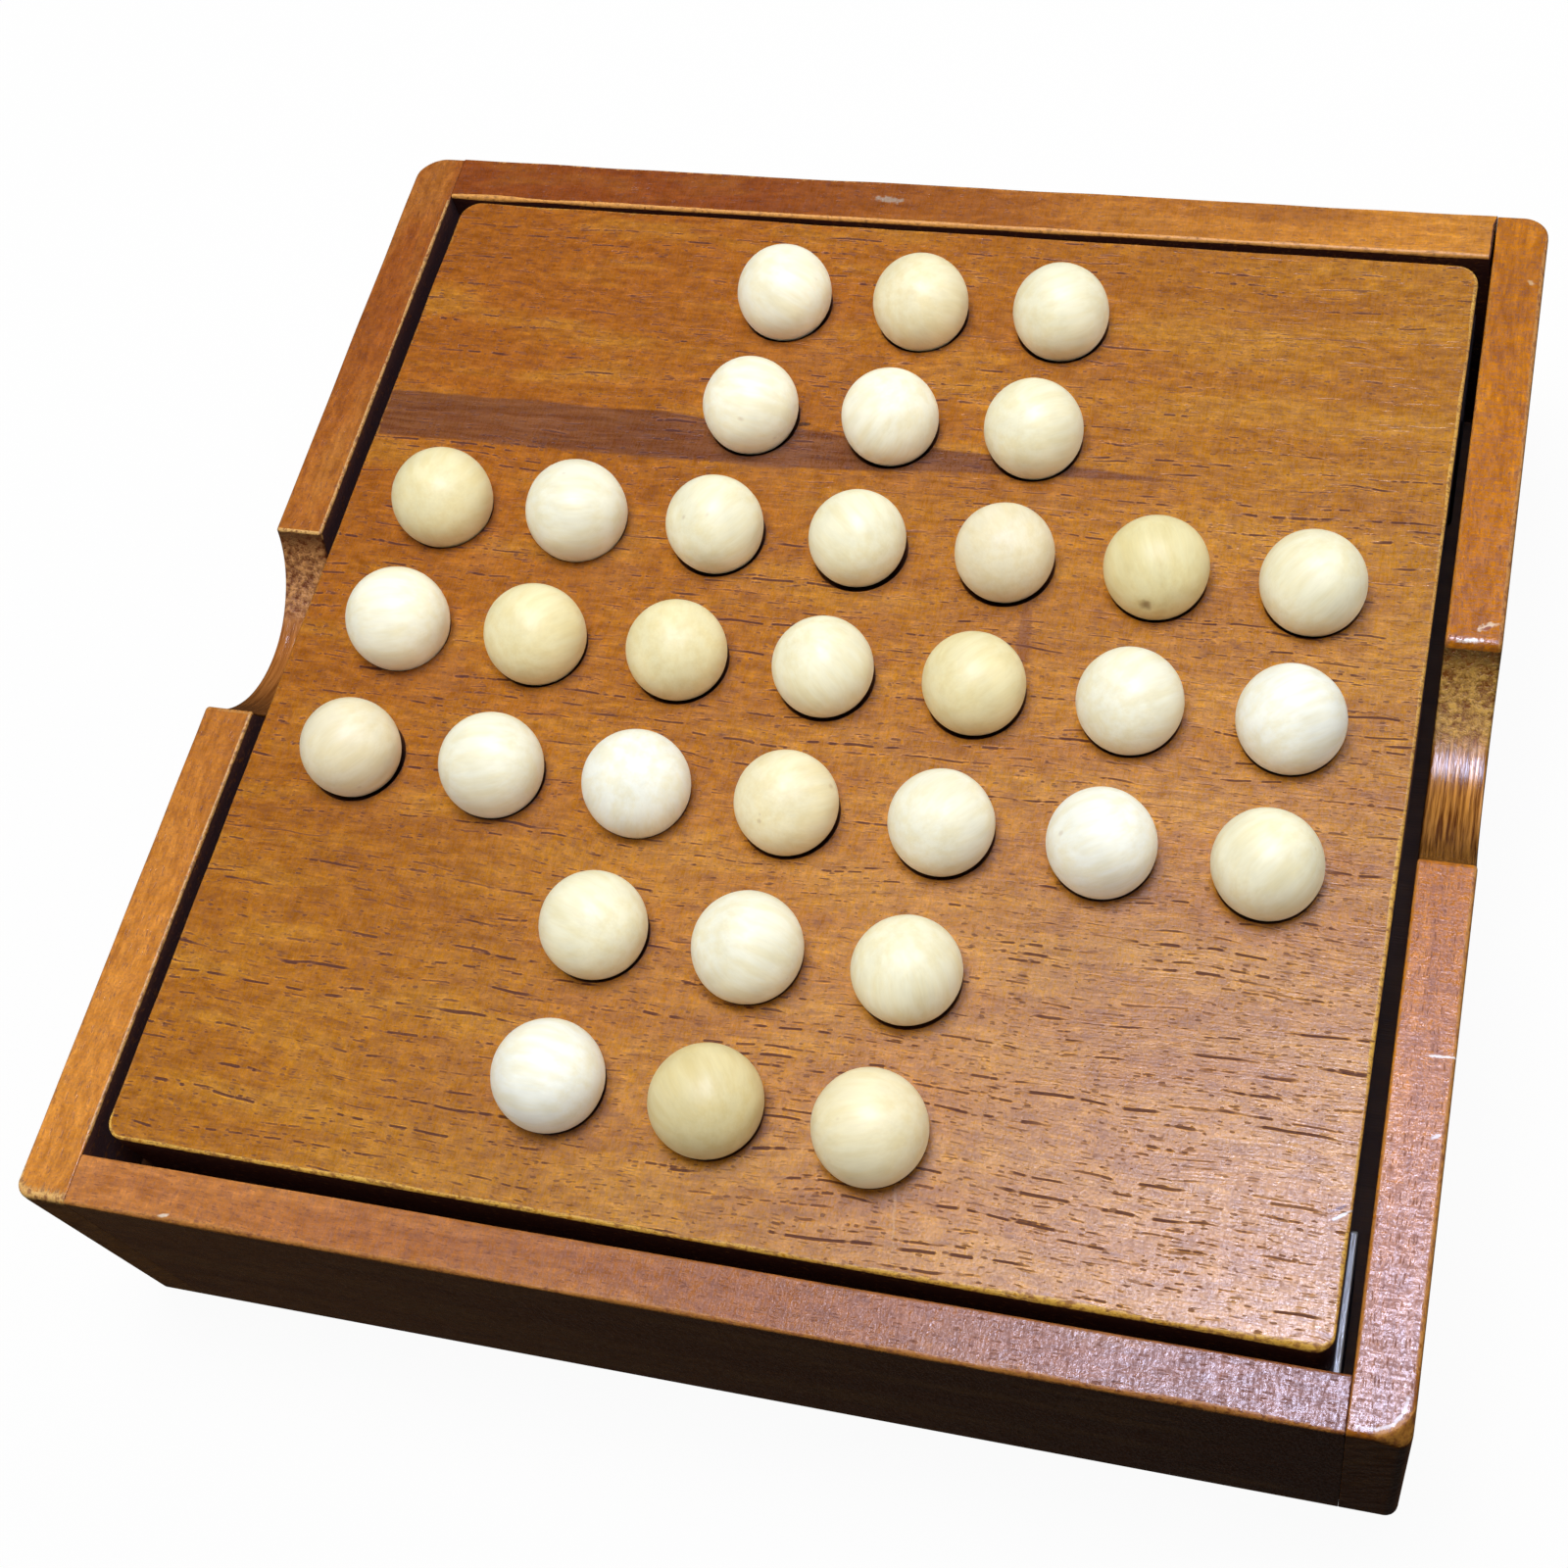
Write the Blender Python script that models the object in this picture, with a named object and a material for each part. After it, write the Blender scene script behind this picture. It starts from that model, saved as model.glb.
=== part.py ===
"""A small peg solitaire game in wood.

A square tray box holds a loose playing board. Wooden balls stand in the dimples
of the board, one at each place of a cross, and there is room to store them under
the board. A round notch in each side rail lets two fingers lift the board out.

Lengths are in metres. X points right, Y points back and Z points up. The origin
is on the table under the middle of the box, and the front is at -Y.
"""

import math

import bmesh
import bpy

# Box sizes
box_width = 0.125
box_depth = 0.125
box_height = 0.030
side_rail_thickness = 0.0052
front_rail_thickness = 0.0048
back_rail_thickness = 0.0056
base_thickness = 0.003
block_width = 0.014
block_length = 0.014

# Outer corners of the box in plan, each sanded by hand to its own radius
front_left_corner_radius = 0.0013
front_right_corner_radius = 0.0018
back_right_corner_radius = 0.0026
back_left_corner_radius = 0.0044

# Finger notches, which are arcs cut down through the side rails
notch_width = 0.0226
notch_depth = 0.008
notch_shift = -0.0002

# Playing board and the slots between it and the rails
board_thickness = 0.008
board_corner_radius = 0.0024
board_left_gap = 0.0016
board_right_gap = 0.0014
board_front_gap = 0.0016
board_back_gap = 0.0009
board_turn = math.radians(-0.31)

# Balls and the cross of dimples they stand in
ball_radius = 0.0051
ball_sink = 0.0028
pattern_margin = 0.0114
pattern_shift_x = 0.0002
pattern_shift_y = 0.0001
cross_reach = 3
cross_half_arm = 1

# Fits
glue_gap = 0.0003
seat_gap = 0.0003
block_side_gap = 0.001
cut_overrun = 0.002

# Edges eased with sandpaper
rail_arris = 0.0005
board_arris = 0.0005
block_arris = 0.0003

# Counts that set how round the curves are
corner_segments = 6
notch_segments = 48
ball_segments = 16
ball_rings = 8
arris_segments = 2

# Angle from which two faces meet in an edge, and not in a curve
edge_angle = math.radians(35)

# Places worked out from the sizes above
inner_left = side_rail_thickness - box_width / 2
inner_right = box_width / 2 - side_rail_thickness
inner_front = front_rail_thickness - box_depth / 2
inner_back = box_depth / 2 - back_rail_thickness

board_width = inner_right - inner_left - board_left_gap - board_right_gap
board_depth = inner_back - inner_front - board_front_gap - board_back_gap
board_middle_x = (inner_left + board_left_gap + inner_right - board_right_gap) / 2
board_middle_y = (inner_front + board_front_gap + inner_back - board_back_gap) / 2
board_underside = box_height - board_thickness

hole_pitch = (min(board_width, board_depth) / 2 - pattern_margin) / cross_reach
ball_middle_height = board_thickness + ball_radius - ball_sink


def clear_scene():
    """Removes everything that the scene holds."""
    for old in list(bpy.data.objects):
        bpy.data.objects.remove(old, do_unlink=True)


def make_material(name, colour, roughness):
    """Returns a plain Principled material; colour is linear red, green and blue."""
    material = bpy.data.materials.new(name)
    material.use_nodes = True
    shader = material.node_tree.nodes["Principled BSDF"]
    shader.inputs["Base Color"].default_value = (*colour, 1)
    shader.inputs["Roughness"].default_value = roughness
    shader.inputs["Metallic"].default_value = 0
    material.diffuse_color = (*colour, 1)
    return material


def add_object(name, mesh, location=(0, 0, 0), parent=None):
    """Puts a mesh, or an empty if mesh is None, into the scene."""
    added = bpy.data.objects.new(name, mesh)
    added.location = location
    added.parent = parent
    bpy.context.scene.collection.objects.link(added)
    return added


def mesh_from(build, name, material=None, smooth=False):
    """Turns a bmesh into a mesh and frees the bmesh."""
    mesh = bpy.data.meshes.new(name)
    build.to_mesh(mesh)
    build.free()
    if material:
        mesh.materials.append(material)
    if smooth:
        mesh.shade_smooth()
        mesh.set_sharp_from_angle(angle=edge_angle)
    return mesh


def rounded_rectangle(width, depth, corner_radii):
    """Returns the outline of a rectangle about the origin, counter-clockwise.

    corner_radii are those of the front left, front right, back right and back
    left corners. A radius of zero leaves the corner sharp.
    """
    outline = []
    sides = ((-1, -1), (1, -1), (1, 1), (-1, 1))
    for quarter, ((side_x, side_y), radius) in enumerate(zip(sides, corner_radii)):
        centre_x = side_x * (width / 2 - radius)
        centre_y = side_y * (depth / 2 - radius)
        steps = corner_segments if radius else 0
        for step in range(steps + 1):
            angle = math.pi + (quarter + (step / steps if steps else 0)) * math.pi / 2
            outline.append((centre_x + radius * math.cos(angle), centre_y + radius * math.sin(angle)))
    return outline


def prism(outline, height):
    """Returns a bmesh with the outline as its base at zero, drawn up to the height."""
    build = bmesh.new()
    base = build.faces.new([build.verts.new((x, y, 0)) for x, y in outline])
    drawn = bmesh.ops.extrude_face_region(build, geom=[base])
    raised = [item for item in drawn["geom"] if isinstance(item, bmesh.types.BMVert)]
    bmesh.ops.translate(build, vec=(0, 0, height), verts=raised)
    bmesh.ops.recalc_face_normals(build, faces=build.faces)
    return build


def soften(piece, radius):
    """Eases the edges of a piece with a small round."""
    bevel = piece.modifiers.new("Arris", "BEVEL")
    bevel.width = radius
    bevel.segments = arris_segments
    bevel.limit_method = "ANGLE"
    bevel.angle_limit = edge_angle


def cut(piece, cutter):
    """Takes the cutter's shape out of a piece and hides the cutter."""
    cutter.hide_render = True
    cutter.display_type = "WIRE"
    boolean = piece.modifiers.new("Cut", "BOOLEAN")
    boolean.operation = "DIFFERENCE"
    boolean.solver = "EXACT"
    boolean.object = cutter


def notch_cutter(name, middle_x):
    """Makes the lying cylinder that leaves the arc of a finger notch in a rail."""
    half_width = notch_width / 2
    radius = (half_width**2 + notch_depth**2) / (2 * notch_depth)
    build = bmesh.new()
    bmesh.ops.create_cone(
        build,
        cap_ends=True,
        segments=notch_segments,
        radius1=radius,
        radius2=radius,
        depth=side_rail_thickness + 2 * cut_overrun,
    )
    location = (middle_x, notch_shift, box_height - notch_depth + radius)
    cutter = add_object(name, mesh_from(build, name), location)
    cutter.rotation_euler = (0, math.pi / 2, 0)
    return cutter


def side_rail(name, side, corner_radii, material):
    """Makes a side rail over the whole depth of the box; side is -1 left, 1 right."""
    limited = [min(radius, side_rail_thickness) for radius in corner_radii]
    outline = rounded_rectangle(side_rail_thickness, box_depth, limited)
    middle_x = side * (box_width - side_rail_thickness) / 2
    mesh = mesh_from(prism(outline, box_height), name, material, smooth=True)
    rail = add_object(name, mesh, (middle_x, 0, 0))
    cut(rail, notch_cutter(name + "_notch_cutter", middle_x))
    soften(rail, rail_arris)
    return rail


def end_rail(name, thickness, middle_y, material):
    """Makes the front or back rail, which fits between the two side rails."""
    length = inner_right - inner_left - 2 * glue_gap
    outline = rounded_rectangle(length, thickness, (0, 0, 0, 0))
    mesh = mesh_from(prism(outline, box_height), name, material, smooth=True)
    rail = add_object(name, mesh, (0, middle_y, 0))
    soften(rail, rail_arris)
    return rail


def base_panel(material):
    """Makes the floor of the box, let in flush between the four rails."""
    width = inner_right - inner_left - 2 * glue_gap
    depth = inner_back - inner_front - 2 * glue_gap
    outline = rounded_rectangle(width, depth, (0, 0, 0, 0))
    mesh = mesh_from(prism(outline, base_thickness), "base_panel", material)
    return add_object("base_panel", mesh, (0, (inner_front + inner_back) / 2, 0))


def corner_blocks(material):
    """Makes the four blocks in the corners of the box that carry the board."""
    bottom = base_thickness + glue_gap
    height = board_underside - seat_gap - bottom
    outline = rounded_rectangle(block_width, block_length, (0, 0, 0, 0))
    left = inner_left + block_side_gap + block_width / 2
    right = inner_right - block_side_gap - block_width / 2
    front = inner_front + glue_gap + block_length / 2
    back = inner_back - glue_gap - block_length / 2
    places = {
        "corner_block_front_left": (left, front),
        "corner_block_front_right": (right, front),
        "corner_block_back_right": (right, back),
        "corner_block_back_left": (left, back),
    }
    for name, (x, y) in places.items():
        mesh = mesh_from(prism(outline, height), name, material, smooth=True)
        soften(add_object(name, mesh, (x, y, bottom)), block_arris)


def cross_places():
    """Yields row, column, x and y of each dimple on the board.

    Rows count from the front and columns from the left, both from one. The x and
    y are from the middle of the board.
    """
    for row in range(-cross_reach, cross_reach + 1):
        for column in range(-cross_reach, cross_reach + 1):
            if min(abs(row), abs(column)) > cross_half_arm:
                continue
            x = column * hole_pitch + pattern_shift_x
            y = row * hole_pitch + pattern_shift_y
            yield row + cross_reach + 1, column + cross_reach + 1, x, y


def ball_shape(radius):
    """Returns a bmesh of a ball about the origin, with its poles up and down."""
    build = bmesh.new()
    bmesh.ops.create_uvsphere(build, u_segments=ball_segments, v_segments=ball_rings, radius=radius)
    return build


def dimple_cutter(carrier):
    """Makes one cutter with a ball shape at every dimple of the cross."""
    build = bmesh.new()
    unit = mesh_from(ball_shape(ball_radius + seat_gap), "dimple_unit")
    for _, _, x, y in cross_places():
        first = len(build.verts)
        build.from_mesh(unit)
        build.verts.ensure_lookup_table()
        bmesh.ops.translate(build, vec=(x, y, ball_middle_height), verts=build.verts[first:])
    bpy.data.meshes.remove(unit)
    return add_object("dimple_cutter", mesh_from(build, "dimple_cutter"), parent=carrier)


def playing_board(carrier, material):
    """Makes the loose board with its eased edge and the dimples in its top."""
    radius = min(board_corner_radius, board_width / 2, board_depth / 2)
    outline = rounded_rectangle(board_width, board_depth, (radius,) * 4)
    mesh = mesh_from(prism(outline, board_thickness), "playing_board", material, smooth=True)
    board = add_object("playing_board", mesh, parent=carrier)
    soften(board, board_arris)
    cut(board, dimple_cutter(carrier))
    return board


def balls(carrier, material):
    """Stands a ball in every dimple."""
    mesh = mesh_from(ball_shape(ball_radius), "ball", material)
    mesh.shade_smooth()
    for row, column, x, y in cross_places():
        add_object(f"ball_r{row}_c{column}", mesh, (x, y, ball_middle_height), carrier)


def build_game():
    """Builds the whole game at rest, with the board in the box and the balls on it."""
    rail_wood = make_material("rail_wood", (0.42, 0.17, 0.045), 0.35)
    end_rail_wood = make_material("end_rail_wood", (0.36, 0.14, 0.04), 0.35)
    board_wood = make_material("board_wood", (0.45, 0.19, 0.055), 0.4)
    base_wood = make_material("base_wood", (0.5, 0.33, 0.17), 0.7)
    block_wood = make_material("block_wood", (0.68, 0.58, 0.42), 0.6)
    ball_wood = make_material("ball_wood", (0.82, 0.74, 0.5), 0.45)

    outer_left = (front_left_corner_radius, 0, 0, back_left_corner_radius)
    outer_right = (0, front_right_corner_radius, back_right_corner_radius, 0)
    side_rail("left_rail", -1, outer_left, rail_wood)
    side_rail("right_rail", 1, outer_right, rail_wood)
    end_rail("front_rail", front_rail_thickness, (front_rail_thickness - box_depth) / 2, end_rail_wood)
    end_rail("back_rail", back_rail_thickness, (box_depth - back_rail_thickness) / 2, end_rail_wood)
    base_panel(base_wood)
    corner_blocks(block_wood)

    carrier = add_object("board_carrier", None, (board_middle_x, board_middle_y, board_underside))
    carrier.rotation_euler = (0, 0, board_turn)
    playing_board(carrier, board_wood)
    balls(carrier, ball_wood)


clear_scene()
build_game()
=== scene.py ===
"""Dresses a small wooden peg solitaire game and sets it on a pale floor.

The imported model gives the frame: every piece made here stands where its CAD node
stands and rides on the same body. Lengths are in metres unless a name ends in mm.
X points right, Y points back and Z points up.
"""

import logging
import math
from collections.abc import Callable
from dataclasses import dataclass
from enum import Enum
from functools import partial

import bmesh
import bpy
from mathutils import Matrix, Vector, noise


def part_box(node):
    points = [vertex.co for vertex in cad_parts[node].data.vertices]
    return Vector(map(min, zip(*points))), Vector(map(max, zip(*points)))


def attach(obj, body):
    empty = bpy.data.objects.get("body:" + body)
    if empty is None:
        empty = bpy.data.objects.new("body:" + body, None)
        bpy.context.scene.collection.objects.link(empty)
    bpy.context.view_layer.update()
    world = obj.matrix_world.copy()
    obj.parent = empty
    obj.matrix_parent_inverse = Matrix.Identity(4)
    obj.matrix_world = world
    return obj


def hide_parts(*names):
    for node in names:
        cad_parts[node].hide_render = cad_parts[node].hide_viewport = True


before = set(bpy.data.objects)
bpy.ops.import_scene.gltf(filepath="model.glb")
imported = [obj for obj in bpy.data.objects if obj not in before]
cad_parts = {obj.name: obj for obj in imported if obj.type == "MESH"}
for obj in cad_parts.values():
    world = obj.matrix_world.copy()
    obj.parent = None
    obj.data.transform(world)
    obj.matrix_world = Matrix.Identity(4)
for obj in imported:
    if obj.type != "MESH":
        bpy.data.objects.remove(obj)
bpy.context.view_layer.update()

MM = 0.001
PER_MM = (1 / MM, 1 / MM, 1 / MM)
BOX_TOP = 30 * MM
# The round of the rails' lower edges.
FOOT_ROUND = 0.35 * MM
# Painted shade: how dark the wood is painted on faces that stand in a slot, where little light reaches,
# from 0 to 1.
SLOT_PAINTED_SHADE = 0.95

log = logging.getLogger("peg_solitaire")

Node = bpy.types.Node
Source = Node | bpy.types.NodeSocket
Adder = Callable[..., Node]
Material = bpy.types.Material
Object = bpy.types.Object
Colour = tuple[float, float, float, float]


def linear(hex_colour: str) -> Colour:
    """Turns an sRGB colour into the linear one that shaders take.

    Args:
        hex_colour: The colour as #RRGGBB.

    Returns:
        Linear red, green, blue and an alpha of one.
    """
    shares = [int(hex_colour[place:place + 2], 16) / 255 for place in (1, 3, 5)]
    return (*(s / 12.92 if s <= 0.04045 else ((s + 0.055) / 1.055) ** 2.4 for s in shares), 1.0)


def feed(node: Node, inputs: dict) -> None:
    """Sets what goes into a node.

    Args:
        node: The node.
        inputs: For each input, by name or number, its value, or the socket or node that feeds it. A node
            feeds it from its first output that is in use.
    """
    for key, value in inputs.items():
        if isinstance(value, Node):
            value = next(output for output in value.outputs if output.enabled)
        if isinstance(value, bpy.types.NodeSocket):
            node.id_data.links.new(value, node.inputs[key])
        else:
            node.inputs[key].default_value = value


def add_node(tree: bpy.types.NodeTree, kind: str, *inputs, **settings) -> Node:
    """Adds one node with its settings, values and links.

    Args:
        tree: The tree that takes the node.
        kind: Blender's name for the kind of node, without ShaderNode in front.
        *inputs: What feeds each input that is in use, in order, or one dict that gives it by name.
        **settings: The node's own properties, which are set first.

    Returns:
        The new node.
    """
    node = tree.nodes.new(kind if kind.startswith(("GeometryNode", "NodeGroup")) else "ShaderNode" + kind)
    for name, value in settings.items():
        setattr(node, name, value)
    if inputs and isinstance(inputs[0], dict):
        feed(node, inputs[0])
    else:
        feed(node, dict(zip((place for place, socket in enumerate(node.inputs) if socket.enabled), inputs)))
    return node


def new_material(name: str) -> tuple[Material, Adder, Node]:
    """Makes a material with a Principled shader in it.

    Args:
        name: The material's name.

    Returns:
        The material, a function that adds a node to it, and the shader node.
    """
    material = bpy.data.materials.new(name)
    material.use_nodes = True
    return material, partial(add_node, material.node_tree), material.node_tree.nodes["Principled BSDF"]


def new_group(name: str, result: str, kinds: dict[str, str]) -> tuple[bpy.types.NodeTree, dict[str, str]]:
    """Starts a Geometry Nodes tree with named inputs.

    Args:
        name: The tree's name.
        result: The name of the geometry that it gives.
        kinds: The kind of each input, by its name.

    Returns:
        The tree, and the identifier of each input by its name.
    """
    tree = bpy.data.node_groups.new(name, "GeometryNodeTree")
    names = {}
    for label, kind in kinds.items():
        socket = tree.interface.new_socket(name=label, in_out="INPUT", socket_type="NodeSocket" + kind)
        names[label] = socket.identifier
    tree.interface.new_socket(name=result, in_out="OUTPUT", socket_type="NodeSocketGeometry")
    return tree, names


def add_object(name: str, mesh: bpy.types.Mesh) -> Object:
    """Puts a mesh into the scene at the origin.

    Args:
        name: The object's name.
        mesh: Its mesh, with its place in its vertices.

    Returns:
        The object.
    """
    added = bpy.data.objects.new(name, mesh)
    bpy.context.scene.collection.objects.link(added)
    return added


def freeze(piece: Object) -> None:
    """Turns what a piece's modifiers make into its plain mesh, and removes them.

    Args:
        piece: The object to change.
    """
    graph = bpy.context.evaluated_depsgraph_get()
    made = bpy.data.meshes.new_from_object(piece.evaluated_get(graph), depsgraph=graph)
    piece.modifiers.clear()
    piece.data = made
    made.name = piece.name


def run_group(name: str, group: tuple[bpy.types.NodeTree, dict[str, str]], values: dict) -> Object:
    """Makes an object of what a Geometry Nodes tree gives.

    Args:
        name: The object's name.
        group: The tree, and the identifier of each input by its name.
        values: The value of each input, by its name.

    Returns:
        The object, with a plain mesh.
    """
    tree, names = group
    piece = add_object(name, bpy.data.meshes.new("empty"))
    maker = piece.modifiers.new("Maker", "NODES")
    maker.node_group = tree
    for label, value in values.items():
        maker[names[label]] = value
    freeze(piece)
    return piece


def hand_over(piece: Object, body: str, node: str, flat: bool = True) -> None:
    """Lets a finished piece ride on a body and stand for a CAD node.

    Args:
        piece: The finished piece.
        body: The body that it moves with.
        node: The CAD node that it stands for.
        flat: True to keep the flat faces beside its rounded edges flat.
    """
    if flat:
        piece.modifiers.new("Flat faces stay flat", "WEIGHTED_NORMAL").keep_sharp = True
    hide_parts(node)
    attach(piece, body)
    log.info("%s stands for %s: %d faces", piece.name, node, len(piece.data.polygons))


class Grain(Enum):
    """The way the wood runs, as the turn about Z in degrees that brings it to X."""

    SIDE_TO_SIDE = 0.0
    FRONT_TO_BACK = -90.0


@dataclass(frozen=True)
class Mark:
    """A small mark, as a soft ellipse seen from above: a mark of use such as a scuff, nick, streak or
    scratch, or a painted glint.
    """

    x_mm: float
    y_mm: float
    length_mm: float
    width_mm: float
    turn_deg: float
    colour: str
    strength: float


@dataclass(frozen=True)
class Pores:
    """One kind of pore: dashes strewn over long narrow cells, some of which stay empty.

    reach is half the largest dash's size as a share of a cell, and empty the share of
    cells without one. Clustered pores come thick in some places and thin in others.
    """

    length_mm: float
    spacing_mm: float
    reach: float
    empty: float
    strength: float
    clustered: bool = False


@dataclass(frozen=True)
class PoreRows:
    """Pores that follow the growth rings: chains of dark dashes along the grain, filled being how many."""

    spacing_mm: float
    chain_mm: float
    dash_mm: float
    width_mm: float
    filled: float
    strength: float


BOARD_ROWS = (
    PoreRows(1.9, 6.5, 1.3, 0.105, 0.5, 0.85), PoreRows(1.23, 4.0, 0.9, 0.085, 0.3, 0.7),
    PoreRows(3.1, 10.0, 1.9, 0.125, 0.6, 0.9))
BOARD_PORES = (
    Pores(5.0, 0.7, 0.13, 0.8, 0.8, True), Pores(2.8, 0.33, 0.24, 0.35, 0.4),
    Pores(1.1, 0.36, 0.3, 0.72, 0.6, True))
RAIL_PORES = (Pores(1.7, 0.3, 0.27, 0.45, 0.35),)

# How long and wide, along and across the grain, the lacquer's fine speckle and the marks of sanding are.
SPECK_MM = (0.3, 0.24)
CHATTER_MM = (0.24, 1.3)


@dataclass(frozen=True)
class StainedWood:
    """Brown-stained, satin-lacquered hardwood with open pores.

    It gives the eye an orange-brown ground with a slow change of tone, dark dashes
    where the stain sits in the pores, paler wood where edges are worn, dark joints,
    painted shade on faces that stand in a slot, and small marks, some of them painted glints.
    """

    name: str
    grain: Grain
    low_tone: str
    high_tone: str
    tone_span_mm: tuple[float, float]
    deep_tone: str
    light_tone: str
    pores: tuple[Pores, ...] = RAIL_PORES
    rows: tuple[PoreRows, ...] = ()
    pore_tone: str = "#4C1E0C"
    worn_tone: str = "#D59A42"
    fibre_width_mm: float = 0.22
    fibre_contrast: float = 0.1
    tone_lean: float = 0.0
    figure: float = 0.5
    mottle: float = 0.8
    wander_mm: float = 1.6
    roughness: float = 0.28
    dull_specks: float = 0.14
    grit_mm: float = 0.02
    wear: float = 1.0
    stain_left: float = 0.75
    sanding: float = 0.0
    stave: bool = False
    marks: tuple[Mark, ...] = ()

    def build(self) -> Material:
        """Builds the material.

        Returns:
            The finished material.
        """
        material, add, shader = new_material(self.name)
        place = self._place(add)
        space = self._wandering(add, place)
        tone = self._ground(add, place, space)
        if self.stave:
            tone = self._dark_stave(add, place, space, tone)
        tone, fibres = self._fibres(add, space, tone)
        crowd = self._crowd(add, place)
        tone, pores = self._pores(add, space, crowd, tone)
        for rows in self.rows:
            tone, pores = self._row(add, space, crowd, rows, tone, pores)
        tone, worn, dirt_and_shade_mask = self._edges(add, place, tone)
        for mark in self.marks:
            tone = self._mark(add, mark, tone)
        height = self._height(add, space, fibres, pores)
        bump = add("Bump", {"Strength": 1.0, "Distance": MM, "Height": height})
        dull = self._lacquer(add, space)
        for share, level in ((worn, 0.5), (pores, 0.85), (dirt_and_shade_mask, 0.9)):
            dull = add("Mix", share, dull, level)
        feed(shader, {"Base Color": tone, "Roughness": dull, "Normal": bump, "IOR": 1.5})
        return material

    def _place(self, add: Adder) -> Source:
        """Gives the place in millimetres, with the grain along X."""
        place = add("TexCoord").outputs["Object"]
        turn = (0, 0, math.radians(self.grain.value))
        return add("Mapping", {"Vector": place, "Rotation": turn, "Scale": PER_MM})

    def _scaled(self, add: Adder, space: Source, length_mm: float, width_mm: float) -> Source:
        """Stretches a space so that one unit is the given length along the grain and width across it."""
        return add("Mapping", {"Vector": space, "Scale": (1 / length_mm, 1 / width_mm, 1 / width_mm)})

    def _wandering(self, add: Adder, place: Source) -> Source:
        """Lets the grain wander to and fro as it runs, and shears it so that upright faces show it too."""
        slow = add("TexNoise", self._scaled(add, place, 34, 15), 1.0, 1.0)
        quick = add("TexNoise", self._scaled(add, place, 6, 3), 1.0, 1.0)
        slow_turn = add(
            "VectorMath", slow.outputs["Color"], (0, self.wander_mm * 2, 1.0), place,
            operation="MULTIPLY_ADD")
        both = add("VectorMath", quick.outputs["Color"], (0, 0.9, 0.2), slow_turn, operation="MULTIPLY_ADD")
        axes = add("SeparateXYZ", both)
        sheared = add("Math", axes.outputs[2], 0.83, axes.outputs[1], operation="MULTIPLY_ADD")
        return add("CombineXYZ", axes.outputs[0], sheared, axes.outputs[2])

    def _ground(self, add: Adder, place: Source, space: Source) -> Source:
        """Gives the stain's own tone: a change from end to end, broad figure, mottle and fine speckle."""
        along = add("VectorMath", place, (1.0, -self.tone_lean, 0.0), operation="DOT_PRODUCT")
        share = add("MapRange", along, self.tone_span_mm[0], self.tone_span_mm[1])
        ends = add("Mix", share, linear(self.low_tone), linear(self.high_tone), data_type="RGBA")
        figure = add("TexNoise", self._scaled(add, space, 22, 5), 1.0, 3.0, 0.55)
        deep = add("MapRange", figure, 0.44, 0.66, 0.0, self.figure)
        pale = add("MapRange", figure, 0.48, 0.34, 0.0, self.figure)
        tone = add("Mix", deep, ends, linear(self.deep_tone), data_type="RGBA")
        tone = add("Mix", pale, tone, linear(self.light_tone), data_type="RGBA")
        for size_mm, depth in (
                ((2.2, 0.9), self.mottle), (SPECK_MM, self.mottle * 0.8),
                (CHATTER_MM, min(60 * self.sanding, 1.2))):
            light = add("MapRange", self._blotches(add, space, size_mm), 0.33, 0.67)
            cast = add(
                "Mix", light, (1 - 0.2 * depth, 1 - 0.25 * depth, 1 - 0.36 * depth, 1),
                (1 + 0.16 * depth, 1 + 0.19 * depth, 1 + 0.24 * depth, 1), data_type="RGBA")
            tone = add("VectorMath", tone, cast, operation="MULTIPLY")
        return tone

    def _blotches(self, add: Adder, space: Source, size_mm: tuple[float, float]) -> Source:
        """Gives uneven blotches of a size along and across the grain."""
        return add("TexNoise", self._scaled(add, space, *size_mm), 1.0, 3.0, 0.65)

    def _lacquer(self, add: Adder, space: Source) -> Source:
        """Gives the roughness: the lacquer shines where the fine speckle is light, and is dull between."""
        both = add(
            "Math", self._blotches(add, space, SPECK_MM), self._blotches(add, space, CHATTER_MM),
            operation="ADD")
        return add("MapRange", both, 0.86, 1.12, self.roughness + self.dull_specks, self.roughness - 0.06)

    def _dark_stave(self, add: Adder, place: Source, space: Source, tone: Source) -> Source:
        """Glues in the narrow dark stave that tapers to a point behind the middle of the board."""
        axes = add("SeparateXYZ", place)
        rough_line = add("TexNoise", self._scaled(add, place, 7, 3), 1.0, 3.0)
        shaken = add("Math", rough_line, 0.9, axes.outputs[1], operation="MULTIPLY_ADD")
        back = add("MapRange", axes.outputs[0], -25, 32, 30.25, 26.9)
        front = add("MapRange", axes.outputs[0], -12, 30, 24.3, 26.85)
        below = add("Math", back, shaken, operation="SUBTRACT")
        above = add("Math", shaken, front, operation="SUBTRACT")
        inside = add("Math", below, above, operation="MINIMUM")
        mask = add("MapRange", inside, -0.12, 0.25, 0.0, 0.92, interpolation_type="SMOOTHSTEP")
        streaks = add("TexNoise", self._scaled(add, space, 9, 0.8), 1.0, 4.0, 0.65)
        spread = add("MapRange", streaks, 0.35, 0.65)
        body = add("Mix", spread, linear("#6A381C"), linear("#8C5834"), data_type="RGBA")
        return add("Mix", mask, tone, body, data_type="RGBA")

    def _fibres(self, add: Adder, space: Source, tone: Source) -> tuple[Source, Source]:
        """Draws the fine fibres along the grain, and returns the tone and their strength."""
        lines = add("TexNoise", self._scaled(add, space, 8, self.fibre_width_mm), 1.0, 2.0, 0.5)
        light = add("MapRange", lines, 0.3, 0.7, 1 - self.fibre_contrast, 1 + self.fibre_contrast)
        lit = add("VectorMath", tone, light, operation="SCALE")
        return lit, lines

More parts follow.
